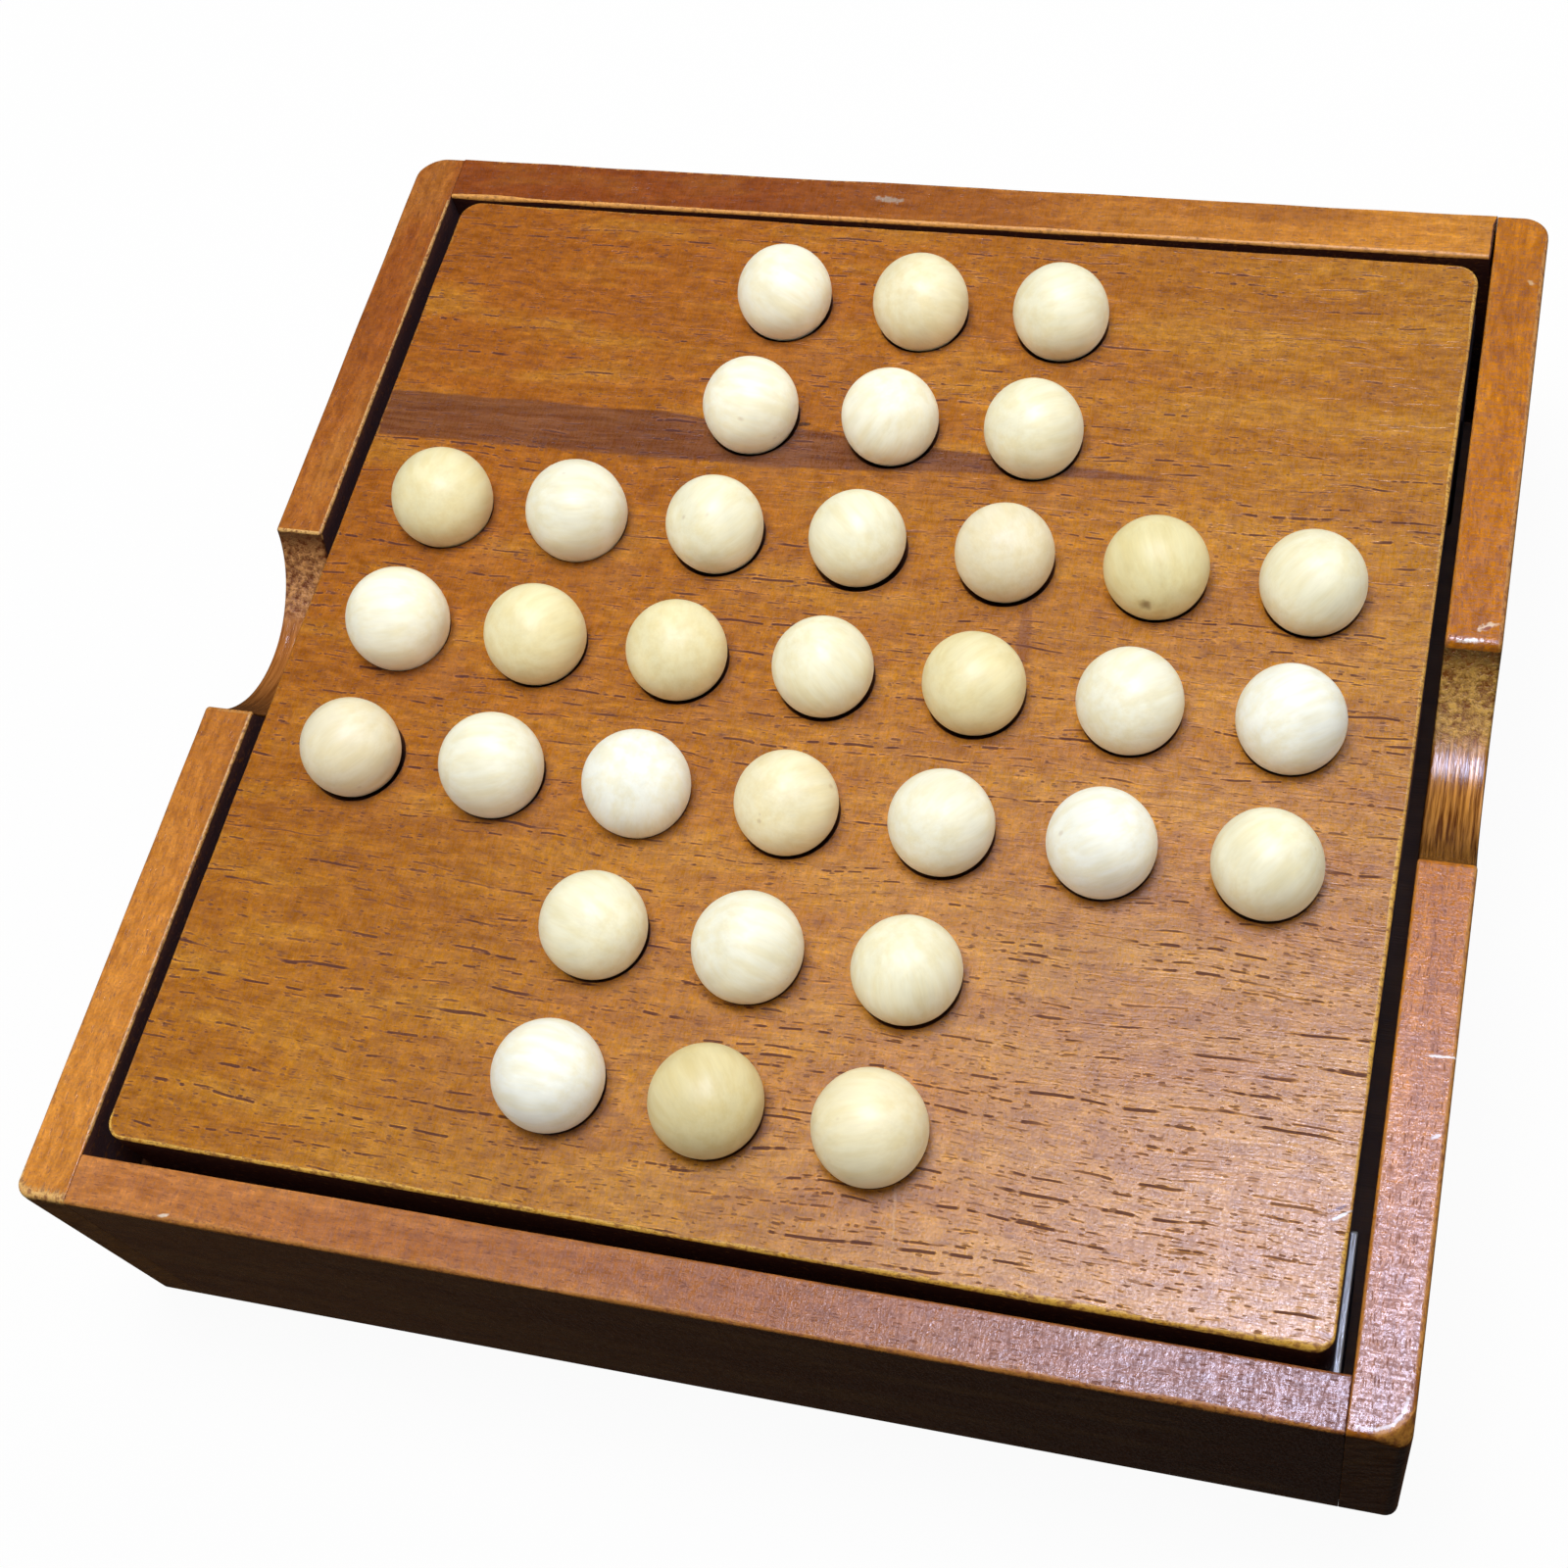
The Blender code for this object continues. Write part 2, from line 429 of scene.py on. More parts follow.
    def _crowd(self, add: Adder, place: Source) -> Source:
        """Says how thick the pores come in each place, from a few to many."""
        clusters = add("TexNoise", self._scaled(add, place, 22, 8), 1.0, 2.0)
        across = add("SeparateXYZ", place)
        towards_front = add("MapRange", across.outputs[1], 45, -5, 0.0, 0.05)
        shifted = add("Math", clusters, towards_front, operation="ADD")
        return add("MapRange", shifted, 0.35, 0.5, 0.3, 1.0)

    def _row(
            self, add: Adder, space: Source, crowd: Source, rows: PoreRows, tone: Source,
            total: Source) -> tuple[Source, Source]:
        """Draws one set of rows of pores, and returns the tone and the depth of all the pores so far."""
        axes = add("SeparateXYZ", space)
        across = add("Math", axes.outputs[1], 1 / rows.spacing_mm, operation="MULTIPLY")
        number = add("Math", across, operation="FLOOR")
        own = add("TexWhiteNoise", {"W": number}, noise_dimensions="1D")
        middle = add("Math", own, 0.6, 0.2, operation="MULTIPLY_ADD")
        within = add("Math", across, operation="FRACT")
        apart = add("Math", within, middle, operation="SUBTRACT")
        away = add("Math", apart, operation="ABSOLUTE")
        width = crowd
        track = add("CombineXYZ", axes.outputs[0], own)
        chains = (rows.chain_mm, 173.0, 0.62 - 0.2 * rows.filled)
        for length_mm, apart_by, edge in ((rows.dash_mm, 431.0, 0.38), chains):
            spread = add("VectorMath", track, (1 / length_mm, apart_by, 1.0), operation="MULTIPLY")
            broken = add("TexNoise", spread, 1.0, 1.0, noise_dimensions="2D")
            share = add("MapRange", broken, edge, edge + 0.1)
            width = add("Math", share, width, operation="MULTIPLY")
        reach = add("Math", width, rows.width_mm / rows.spacing_mm, operation="MULTIPLY")
        depth = add("Math", reach, away, operation="SUBTRACT")
        soft = 0.03 / rows.spacing_mm
        mask = add("MapRange", depth, -soft, soft, 0.0, rows.strength, interpolation_type="SMOOTHSTEP")
        shown = add("Math", mask, width, operation="MULTIPLY")
        halo = add("MapRange", depth, -5 * soft, -soft, 0.0, 0.3)
        glow = add("Math", halo, width, 1.0, operation="MULTIPLY_ADD")
        lit = add("VectorMath", tone, glow, operation="SCALE")
        mixed = add("Mix", shown, lit, linear(self.pore_tone), data_type="RGBA")
        deepest = add("Math", total, shown, operation="MAXIMUM")
        return mixed, deepest

    def _pores(self, add: Adder, space: Source, crowd: Source, tone: Source) -> tuple[Source, Source]:
        """Opens the scattered pores, each with a faint light rim, and returns the tone and their depth."""
        total = None
        for kind in self.pores:
            cells = add(
                "TexVoronoi",
                {"Vector": self._scaled(add, space, kind.length_mm, kind.spacing_mm), "Scale": 1.0},
                voronoi_dimensions="2D")
            chance = add("SeparateColor", cells.outputs["Color"])
            size = add("MapRange", chance, kind.empty, 1.0, 0.0, kind.reach)
            if kind.clustered:
                size = add("Math", size, crowd, operation="MULTIPLY")
            depth = add("Math", size, cells.outputs["Distance"], operation="SUBTRACT")
            mask = add("MapRange", depth, -0.02, 0.06, 0.0, kind.strength, interpolation_type="SMOOTHSTEP")
            rim = add("MapRange", depth, -0.2, -0.03, 1.0, 1.0 + 0.14 * kind.strength)
            tone = add("VectorMath", tone, rim, operation="SCALE")
            tone = add("Mix", mask, tone, linear(self.pore_tone), data_type="RGBA")
            total = mask if total is None else add("Math", total, mask, operation="MAXIMUM")
        return tone, total

    def _edges(self, add: Adder, place: Source, tone: Source) -> tuple[Source, Source, Source]:
        """Rubs the stain off worn edges in patches, darkens the joints and paints shade on faces that stand
        in a slot, as the mesh says where.

        Returns the tone, how worn each place is, and how dark it is with joint dirt and painted shade.
        """
        edge = add("Attribute", attribute_name="wear")
        patches = add("TexNoise", self._scaled(add, place, 0.75, 0.5), 1.0, 4.0, 0.65)
        spread = add("MapRange", patches, 0.3, 0.7, -0.5, 0.5)
        both = add("Math", edge.outputs["Fac"], spread, operation="ADD")
        mask = add("MapRange", both, 0.38, 0.8, 0.0, self.wear, interpolation_type="SMOOTHSTEP")
        stained = add("MapRange", patches, 0.47, 0.58, 0.0, self.stain_left)
        bare = add("Mix", stained, linear(self.worn_tone), linear(self.deep_tone), data_type="RGBA")
        rubbed = add("Mix", mask, tone, bare, data_type="RGBA")
        joints_and_slots = add("Attribute", attribute_name="grime")
        caught = add("Math", joints_and_slots.outputs["Fac"], spread, operation="ADD")
        dirt_and_shade_mask = add("MapRange", caught, 0.2, 0.8, 0.0, 0.95)
        # Dark brown for the dirt in the joints and for painted shade on faces in a slot.
        mixed = add("Mix", dirt_and_shade_mask, rubbed, linear("#562408"), data_type="RGBA")
        return mixed, mask, dirt_and_shade_mask

    def _mark(self, add: Adder, mark: Mark, tone: Source) -> Source:
        """Adds one mark of use or painted glint on the faces that look up."""
        coordinates = add("TexCoord").outputs["Object"]
        place = (mark.x_mm * MM, mark.y_mm * MM, BOX_TOP)
        turn = (0, 0, math.radians(mark.turn_deg))
        size = (mark.length_mm * MM / 2, mark.width_mm * MM / 2, 2 * MM)
        centred = add(
            "Mapping", {"Vector": coordinates, "Location": place, "Rotation": turn, "Scale": size},
            vector_type="TEXTURE")
        ragged = add("TexNoise", coordinates, 2200.0, 2.0)
        away = add("VectorMath", centred, operation="LENGTH")
        torn = add("Math", ragged, 1.6, away, operation="MULTIPLY_ADD")
        mask = add("MapRange", torn, 1.25, 1.85, mark.strength, 0.0, interpolation_type="SMOOTHSTEP")
        return add("Mix", mask, tone, linear(mark.colour), data_type="RGBA")

    def _height(self, add: Adder, space: Source, fibres: Source, pores: Source) -> Source:
        """Gives the relief in millimetres: sunken pores, raised fibres, the lacquer's skin and sanding."""
        height = add("Math", pores, -0.05, operation="MULTIPLY")
        layers = [(fibres, 0.015)]
        for size_mm, depth in (((0.32, 0.26), self.grit_mm), ((0.3, 2.0), self.sanding)):
            if depth:
                skin = add("TexNoise", self._scaled(add, space, *size_mm), 1.0, 3.0, 0.65)
                layers.append((skin, depth))
        for layer, depth in layers:
            height = add("Math", layer, depth, height, operation="MULTIPLY_ADD")
        return height


@dataclass(frozen=True)
class NotchWood:
    """The rail's wood where the notch is sawn: rough end grain behind, polished by fingers in front.

    It gives the eye a pitted back part, a glossy band where the light falls, and a
    brown front part with streaks along the curve that darkens towards its end.
    """

    name: str
    back_tones: tuple[str, str]
    front_tones: tuple[str, str]
    pits_mm: float
    half_width_mm: float = 10.2

    def build(self) -> Material:
        """Builds the material.

        Returns:
            The finished material.
        """
        material, add, shader = new_material(self.name)
        coordinates = add("TexCoord").outputs["Object"]
        place = add("Mapping", {"Vector": coordinates, "Scale": PER_MM})
        noises = []
        for scale, detail in (((3.2, 0.12, 0.12), 3.0), ((1.4, 1.4, 1.4), 5.0)):
            space = add("Mapping", {"Vector": place, "Scale": scale})
            found = add("TexNoise", space, 1.0, detail, 0.7)
            noises.append(add("MapRange", found, 0.38, 0.62))
        streak, grain = noises
        axes = add("SeparateXYZ", place)
        front = add(
            "Mix", streak, linear(self.front_tones[0]), linear(self.front_tones[1]), data_type="RGBA")
        darker = add("MapRange", axes.outputs[1], -8.0, 0.5, 0.3)
        front = add("VectorMath", front, darker, operation="SCALE")
        back = add("Mix", grain, linear(self.back_tones[0]), linear(self.back_tones[1]), data_type="RGBA")
        behind = add("MapRange", axes.outputs[1], 3.0, 6.0, interpolation_type="SMOOTHSTEP")
        both = add("Mix", behind, front, back, data_type="RGBA")
        away = add("Math", axes.outputs[1], operation="ABSOLUTE")
        ragged = add("Math", grain, 0.7, away, operation="MULTIPLY_ADD")
        end = add("MapRange", ragged, self.half_width_mm, self.half_width_mm + 0.9, 0.0, 0.7)
        tone = add("Mix", end, both, linear("#43230E"), data_type="RGBA")
        saw_height = add("Math", streak, 0.025, operation="MULTIPLY")
        pit_height = add("Math", grain, self.pits_mm, operation="MULTIPLY")
        height = add("Mix", behind, saw_height, pit_height)
        bump = add("Bump", {"Strength": 1.0, "Distance": MM, "Height": height})
        rough = add("MapRange", behind, 0.0, 1.0, 0.2, 0.4)
        feed(shader, {"Base Color": tone, "Roughness": rough, "Normal": bump, "IOR": 1.5})
        return material


@dataclass(frozen=True)
class TurnedWood:
    """Pale close-grained hardwood, turned to balls, tumbled smooth and waxed.

    It gives the eye cream and white balls, each of its own tone, with faint lines
    of growth, small freckles and a soft, wide highlight.
    """

    name: str = "waxed_turned_birch"

    def build(self) -> Material:
        """Builds the material, which reads each ball's tone and grain from its mesh.

        Returns:
            The finished material.
        """
        material, add, shader = new_material(self.name)
        own_tone = add("Attribute", attribute_name="ball_tone")
        place = add("Attribute", attribute_name="turned_place").outputs["Vector"]
        rings = add(
            "TexNoise", add("Mapping", {"Vector": place, "Scale": (0.9, 0.9, 0.12)}), 1.0, 3.0, 0.55)
        fibres = add(
            "TexNoise", add("Mapping", {"Vector": place, "Scale": (4.5, 4.5, 0.45)}), 1.0, 2.0, 0.5)
        cloud = add("TexNoise", place, 0.28, 2.0)
        banded = add("MapRange", rings, 0.4, 0.65)
        cast = add("Mix", banded, (1.02, 1.02, 1.05, 1), (0.97, 0.93, 0.84, 1), data_type="RGBA")
        warm = add("VectorMath", own_tone.outputs["Color"], cast, operation="MULTIPLY")
        fine = add("MapRange", fibres, 0.3, 0.7, 0.975, 1.02)
        lit = add("VectorMath", warm, fine, operation="SCALE")
        broad = add("MapRange", cloud, 0.35, 0.65, 0.95, 1.03)
        clouded = add("VectorMath", lit, broad, operation="SCALE")
        cells = add("TexVoronoi", {
            "Vector": add("Mapping", {"Vector": place, "Scale": (0.5, 0.5, 0.3)}), "Scale": 1.0})
        chance = add("SeparateColor", cells.outputs["Color"])
        rare = add("MapRange", chance, 0.8, 1.0, 0.0, 0.16)
        freckle = add("Math", rare, cells.outputs["Distance"], operation="SUBTRACT")
        spot = add("MapRange", freckle, -0.02, 0.08, 0.0, 0.3)
        spotted = add("Mix", spot, clouded, linear("#A98456"), data_type="RGBA")
        pit = add("Attribute", attribute_name="pit")
        pitted = add("Mix", pit.outputs["Fac"], spotted, linear("#7A5A34"), data_type="RGBA")
        height = add("Math", fibres, 0.008, operation="MULTIPLY")
        dimpled = add("Math", cloud, 0.05, height, operation="MULTIPLY_ADD")
        bump = add("Bump", {"Strength": 1.0, "Distance": MM, "Height": dimpled})
        rough = add("MapRange", rings, 0.0, 1.0, 0.42, 0.58)
        feed(shader, {"Base Color": pitted, "Roughness": rough, "Normal": bump, "IOR": 1.46})
        return material


@dataclass(frozen=True)
class BareWood:
    """Unfinished wood inside the box: planed softwood blocks or the face of thin plywood.

    It gives the eye a dry, matt surface with straight growth lines and fine fuzz. On the
    blocks its dark tones are painted shade, and one block keeps a narrow glossy white strip from front to
    back, between two places in X.
    """

    name: str
    early_tone: str
    late_tone: str
    grain: Grain
    line_spacing_mm: float
    contrast: float = 0.6
    pale_strip_mm: tuple[float, float] | None = None

    def build(self) -> Material:
        """Builds the material.

        Returns:
            The finished material.
        """
        material, add, shader = new_material(self.name)
        coordinates = add("TexCoord").outputs["Object"]
        turn = (0, 0, math.radians(self.grain.value))
        turned = add("Mapping", {"Vector": coordinates, "Rotation": turn, "Scale": PER_MM})
        spacing = self.line_spacing_mm
        stretched = add("Mapping", {"Vector": turned, "Scale": (0.03 / spacing, 1 / spacing, 1 / spacing)})
        growth = add("TexNoise", {
            "Vector": stretched, "Scale": 1.0, "Detail": 3.0, "Roughness": 0.5, "Distortion": 0.4})
        fuzz_space = add("Mapping", {"Vector": turned, "Scale": (0.25, 5.0, 5.0)})
        fuzz = add("TexNoise", fuzz_space, 1.0, 3.0)
        share = add("MapRange", growth, 0.4, 0.65, 0.0, self.contrast)
        tone = add("Mix", share, linear(self.early_tone), linear(self.late_tone), data_type="RGBA")
        light = add("MapRange", fuzz, 0.3, 0.7, 0.88, 1.08)
        lit = add("VectorMath", tone, light, operation="SCALE")
        height = add("Math", fuzz, 0.05, operation="MULTIPLY")
        bump = add("Bump", {"Strength": 1.0, "Distance": MM, "Height": height})
        rough = add("MapRange", fuzz, 0.0, 1.0, 0.65, 0.85)
        tone, roughness = lit, rough
        # One block is painted shade but for a narrow glossy white strip from front to back.
        if self.pale_strip_mm:
            low, high = self.pale_strip_mm
            half = (high - low) / 2 * MM
            axes = add("SeparateXYZ", coordinates)
            apart = add("Math", axes.outputs[0], (low + high) / 2 * MM, operation="SUBTRACT")
            away = add("Math", apart, operation="ABSOLUTE")
            strip = add("MapRange", away, half + 0.1 * MM, half - 0.05 * MM)
            tone = add("Mix", strip, tone, linear("#F2F1EC"), data_type="RGBA")
            roughness = add("Mix", strip, roughness, 0.16)
        feed(shader, {"Base Color": tone, "Roughness": roughness, "Normal": bump, "IOR": 1.5})
        return material


@dataclass(frozen=True)
class RingPoint:
    """One point of a ring, how worn the wood is there, and how dark it is painted for joint dirt and for
    painted shade in a slot, from 0 to 1.
    """

    place: Vector
    wear: float
    grime: float = 0.0


@dataclass(frozen=True)
class OutlinePoint:
    """One point of a flat outline, its outward direction, how worn the wood is there, and how dark it is
    painted as painted shade in a slot.
    """

    across: float
    up: float
    out_across: float
    out_up: float
    wear: float = 0.0
    grime: float = 0.0

    def pulled_in(self, distance: float) -> tuple[float, float]:
        """Gives the place a distance inside the outline."""
        return self.across - self.out_across * distance, self.up - self.out_up * distance


def loft(
        name: str, rings: list[list[RingPoint]], finishes: tuple[Material, ...],
        cap_painted_shade: tuple[float, float] = (0.0, 0.0)) -> bpy.types.Mesh:
    """Skins a closed solid over rings that all have the same number of points.

    Args:
        name: The mesh's name.
        rings: The rings in order, of which the first and last are closed with a flat face.
        finishes: Its finishes, of which the first covers it.
        cap_painted_shade: How dark those two faces are painted, as painted shade where a face stands in a
            slot.

    Returns:
        A mesh with the attributes wear and grime, which darkens joints and paints shade in slots.
    """
    build = bmesh.new()
    wear, grime = build.loops.layers.float.new("wear"), build.loops.layers.float.new("grime")
    rows = [[build.verts.new(point.place) for point in ring] for ring in rings]
    point_of = {vert: point for row, ring in zip(rows, rings) for vert, point in zip(row, ring)}
    count = len(rings[0])
    for first, second in zip(rows, rows[1:]):
        for here in range(count):
            after = (here + 1) % count
            build.faces.new((first[here], first[after], second[after], second[here]))
    for face in build.faces:
        for loop in face.loops:
            point = point_of[loop.vert]
            loop[wear], loop[grime] = point.wear, point.grime
    caps = (build.faces.new(list(reversed(rows[0]))), build.faces.new(rows[-1]))
    for cap, level in zip(caps, cap_painted_shade):
        for loop in cap.loops:
            loop[grime] = level
    bmesh.ops.recalc_face_normals(build, faces=build.faces)
    mesh = bpy.data.meshes.new(name)
    build.to_mesh(mesh)
    build.free()
    mesh.shade_smooth()
    for finish in finishes:
        mesh.materials.append(finish)
    return mesh


def arc(
        centre: tuple[float, float], radius: float, start_deg: float, end_deg: float, steps: int,
        wear: float = 0.0, hollow: bool = False) -> list[OutlinePoint]:
    """Draws part of a circle.

    Args:
        centre: Its centre.
        radius: Its radius.
        start_deg: The angle it starts at, in degrees.
        end_deg: The angle it ends at.
        steps: The number of straight steps.
        wear: How worn the edge is.
        hollow: True where the wood is outside the circle.

    Returns:
        The points from start to end.
    """
    points = []
    for step in range(steps + 1):
        angle = math.radians(start_deg + (end_deg - start_deg) * step / steps)
        c, s = math.cos(angle), math.sin(angle)
        facing = -1 if hollow else 1
        points.append(OutlinePoint(
            centre[0] + radius * c, centre[1] + radius * s, facing * c, facing * s, wear))
    return points


def straight(
        start: tuple[float, float], end: tuple[float, float], spacing: float, out: tuple[float, float],
        grime: float = 0.0) -> list[OutlinePoint]:
    """Draws the inner points of a straight line, without its two ends.

    Args:
        start: Where it starts.
        end: Where it ends.
        spacing: The most that two points may be apart.
        out: The outward direction.
        grime: How dark the wood is painted there, as painted shade in a slot.

    Returns:
        The points between start and end.
    """
    steps = max(2, math.ceil(math.dist(start, end) / spacing))
    return [
        OutlinePoint(
            start[0] + (end[0] - start[0]) * step / steps, start[1] + (end[1] - start[1]) * step / steps,
            *out, grime=grime) for step in range(1, steps)]


def round_inset(radius: float, depth: float) -> float:
    """How far a quarter-round edge has pulled in at a depth below the face.

    Args:
        radius: The radius of the round.
        depth: The distance from the face.

    Returns:
        The distance from the full outline.
    """
    if depth >= radius:
        return 0.0
    return radius - math.sqrt(max(radius ** 2 - (radius - depth) ** 2, 0.0))


def ease(value: float, low: float, high: float) -> float:
    """Rises smoothly from 0 at low to 1 at high.

    Args:
        value: Where to read.
        low: Where the rise starts.
        high: Where it ends.

    Returns:
        The share, from 0 to 1.
    """
    share = min(max((value - low) / (high - low), 0.0), 1.0)
    return share * share * (3 - 2 * share)


def unevenness(place: float, wave: float, seed: float) -> float:
    """A slow, repeatable waver between about -1 and 1.

    Args:
        place: The place along the edge.
        wave: The length of the waver.
        seed: A number that tells edges apart.

    Returns:
        The waver.
    """
    return 2.0 * noise.noise(Vector((place / wave, seed * 7.31, seed * 3.17)))


@dataclass(frozen=True)
class Corner:
    """An outer corner of the box in plan: its radius low down and at the top, and how worn it is.

    edge_wear is the wear of its top edge, and wear that of the slope under a larger top radius.
    """

    low_radius: float
    top_radius: float
    edge_wear: float = 0.4
    wear: float = 0.0

    def radius_at(self, below_top: float) -> float:
        """The radius at a distance below the top face."""
        return self.low_radius + (self.top_radius - self.low_radius) * (1 - ease(below_top, 0.0, 1.7 * MM))


@dataclass(frozen=True)
class SideRail:
    """A side rail over the whole depth of the box, with a finger notch in its top."""

    name: str
    node: str
    side: int
    front_corner: Corner
    back_corner: Corner
    inner_arris: float
    outer_arris: float
    inner_wear: float
    outer_wear: float
    seed: float
    front_crest_wear: float = 0.3
    back_crest_wear: float = 0.3
    back_crest: float = 0.5 * MM
    front_crest: float = 0.5 * MM
    crest: float = 0.5 * MM
    notch_half_width: float = 11.3 * MM
    notch_depth: float = 8.0 * MM
    notch_shift: float = -0.2 * MM

    def outline(self, low: Vector, high: Vector) -> list[OutlinePoint]:
        """Draws the rail as seen from the side, Y across and Z up.

        Args:
            low: The rail's lowest corner.
            high: Its highest corner.

        Returns:
            The outline with its outward directions.
        """
        crest, top, foot = self.crest, high.z, FOOT_ROUND
        arc_radius = (self.notch_half_width ** 2 + self.notch_depth ** 2) / (2 * self.notch_depth)
        middle = (self.notch_shift, top - self.notch_depth + arc_radius)
        crests, leans = [], []
        for radius, side in ((self.back_crest, 1), (self.front_crest, -1)):
            reach = math.sqrt((arc_radius + radius) ** 2 - (middle[1] - top + radius) ** 2)
            crests.append((middle[0] + side * reach, top - radius))
            leans.append(math.degrees(math.asin((middle[1] - top + radius) / (arc_radius + radius))))
        (back_crest, front_crest), (back_lean, lean) = crests, leans
        points = arc((low.y + foot, low.z + foot), foot, 180, 270, 3, 0.4)
        points += straight((low.y + foot, low.z), (high.y - foot, low.z), 4 * MM, (0, -1))
        points += arc((high.y - foot, low.z + foot), foot, 270, 360, 3, 0.4)
        points += straight((high.y, low.z + foot), (high.y, top - 4 * MM), 3 * MM, (1, 0))
        points += straight((high.y, top - 4 * MM), (high.y, top - crest), 0.4 * MM, (1, 0))
        points += arc((high.y - crest, top - crest), crest, 0, 90, 4, 1.0)
        points += straight((high.y - crest, top), (back_crest[0], top), 1.2 * MM, (0, 1))
        points += [OutlinePoint(back_crest[0] + 0.1 * MM, top, 0, 1)]
        points += arc(back_crest, self.back_crest, 90, 180 - back_lean, 6, self.back_crest_wear)
        points += arc(middle, arc_radius, -back_lean, lean - 180, 44, 0.0, hollow=True)[1:-1]
        points += arc(front_crest, self.front_crest, lean, 90, 6, self.front_crest_wear)
        points += [OutlinePoint(front_crest[0] - 0.1 * MM, top, 0, 1)]
        points += straight((front_crest[0], top), (low.y + crest, top), 1.2 * MM, (0, 1))
        points += arc((low.y + crest, top - crest), crest, 90, 180, 4, 1.0)
        points += straight((low.y, top - crest), (low.y, top - 4 * MM), 0.4 * MM, (-1, 0))
        points += straight((low.y, top - 4 * MM), (low.y, low.z + foot), 3 * MM, (-1, 0))
        return points

    def stations(self, thickness: float) -> list[float]:
        """Places of the rings, as distances from the outer face.

        Args:
            thickness: The rail's thickness.

        Returns:
            The distances in rising order.
        """
        found = {0.0, thickness}
        for angle in (20, 40, 60, 78, 90):
            share = 1 - math.cos(math.radians(angle))
            found |= {self.outer_arris * share, thickness - self.inner_arris * share}
            for corner in (self.front_corner, self.back_corner):
                found |= {corner.low_radius * share, corner.top_radius * share}
        found |= {self.outer_arris + 0.13 * MM, thickness - self.inner_arris - 0.13 * MM}
        found |= {thickness * step / 9 for step in range(1, 9)}
        kept: list[float] = []
        for distance in sorted(found):
            if 0 <= distance <= thickness and (not kept or distance - kept[-1] > 0.035 * MM):
                kept.append(distance)
        kept[-1] = thickness
        return kept

    def ring(self, points: list[OutlinePoint], low: Vector, high: Vector, depth: float) -> list[RingPoint]:
        """Places the outline at a distance from the outer face.

        Args:
            points: The rail's outline.
            low: The rail's lowest corner.
            high: Its highest corner.
            depth: The distance from the outer face.

        Returns:
            The ring.
        """
        thickness = high.x - low.x
        x = high.x - depth if self.side > 0 else low.x + depth
        ring = []
        for point in points:
            waver = unevenness(point.across + point.up, 9 * MM, self.seed)
            outer = min(self.outer_arris * (1 + 0.22 * waver), 0.98 * self.crest)
            from_front, from_back = point.across - low.y, high.y - point.across
            from_end = min(from_front, from_back)
            butted = 1 - ease(from_end, 4.8 * MM, 5.8 * MM)
            inner = min(self.inner_arris * (1 + 0.25 * waver), 0.98 * self.crest) * (1 - 0.7 * butted)
            if abs(point.out_across) > 0.99:
                inner = 0.05 * MM
            pulled = max(round_inset(outer, depth), round_inset(inner, thickness - depth))
            y, z = point.pulled_in(pulled)
            corner, sign = (self.front_corner, 1) if from_front < from_back else (self.back_corner, -1)
            radius = corner.radius_at(high.z - point.up)
            turned = max(round_inset(radius, depth) - pulled, 0.0)
            y += sign * turned * (1 - ease(from_end, 0.0, 8 * MM))
            sharp = 1 - ease(depth, outer * 0.75, outer + 0.1 * MM)
            sharp_inner = 1 - ease(thickness - depth, inner * 0.75, inner + 0.1 * MM)
            near_end = 1 - ease(from_end, radius, radius + 2 * MM)
            outer_wear = self.outer_wear + (corner.edge_wear - self.outer_wear) * near_end
            crest_wear = point.wear * (outer_wear if from_end < 8 * MM else 1.0)
            wear = max(sharp * outer_wear, sharp_inner * self.inner_wear * (1 - butted), crest_wear)
            if from_end < 0.6 * MM:
                widened = ease(radius, corner.low_radius, corner.low_radius + 0.4 * MM)
                wear = max(wear, corner.wear * (widened * ease(turned, 0.0, 0.1 * MM)))
            ring.append(RingPoint(Vector((x, y, z)), wear))
        return ring

    def build(self, finish: Material, notch_finish: Material) -> Object:
        """Builds the rail and lets it stand for its node.

        Args:
            finish: The stained finish of the rail.
            notch_finish: The finish of the sawn and rubbed notch.

        Returns:
            The rail.
        """
        low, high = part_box(self.node)
        points = self.outline(low, high)
        rings = [self.ring(points, low, high, depth) for depth in self.stations(high.x - low.x)]
        # The last ring is the inner face, which stands in a slot and gets painted shade.
        mesh = loft(self.name, rings, (finish, notch_finish), (0.0, SLOT_PAINTED_SHADE))
        middle = (low.y + high.y) / 2 + self.notch_shift
        lowest = 20 * MM
        for face in mesh.polygons:
            place = face.center
            below = 0.6 * (self.back_crest if place.y > middle else self.front_crest)
            looks_up = face.normal.z > 0.1 and lowest < place.z < high.z - below
            if looks_up and abs(place.y - middle) < self.notch_half_width:
                face.material_index = 1
        rail = add_object(self.name, mesh)
        hand_over(rail, "box", self.node)
        return rail


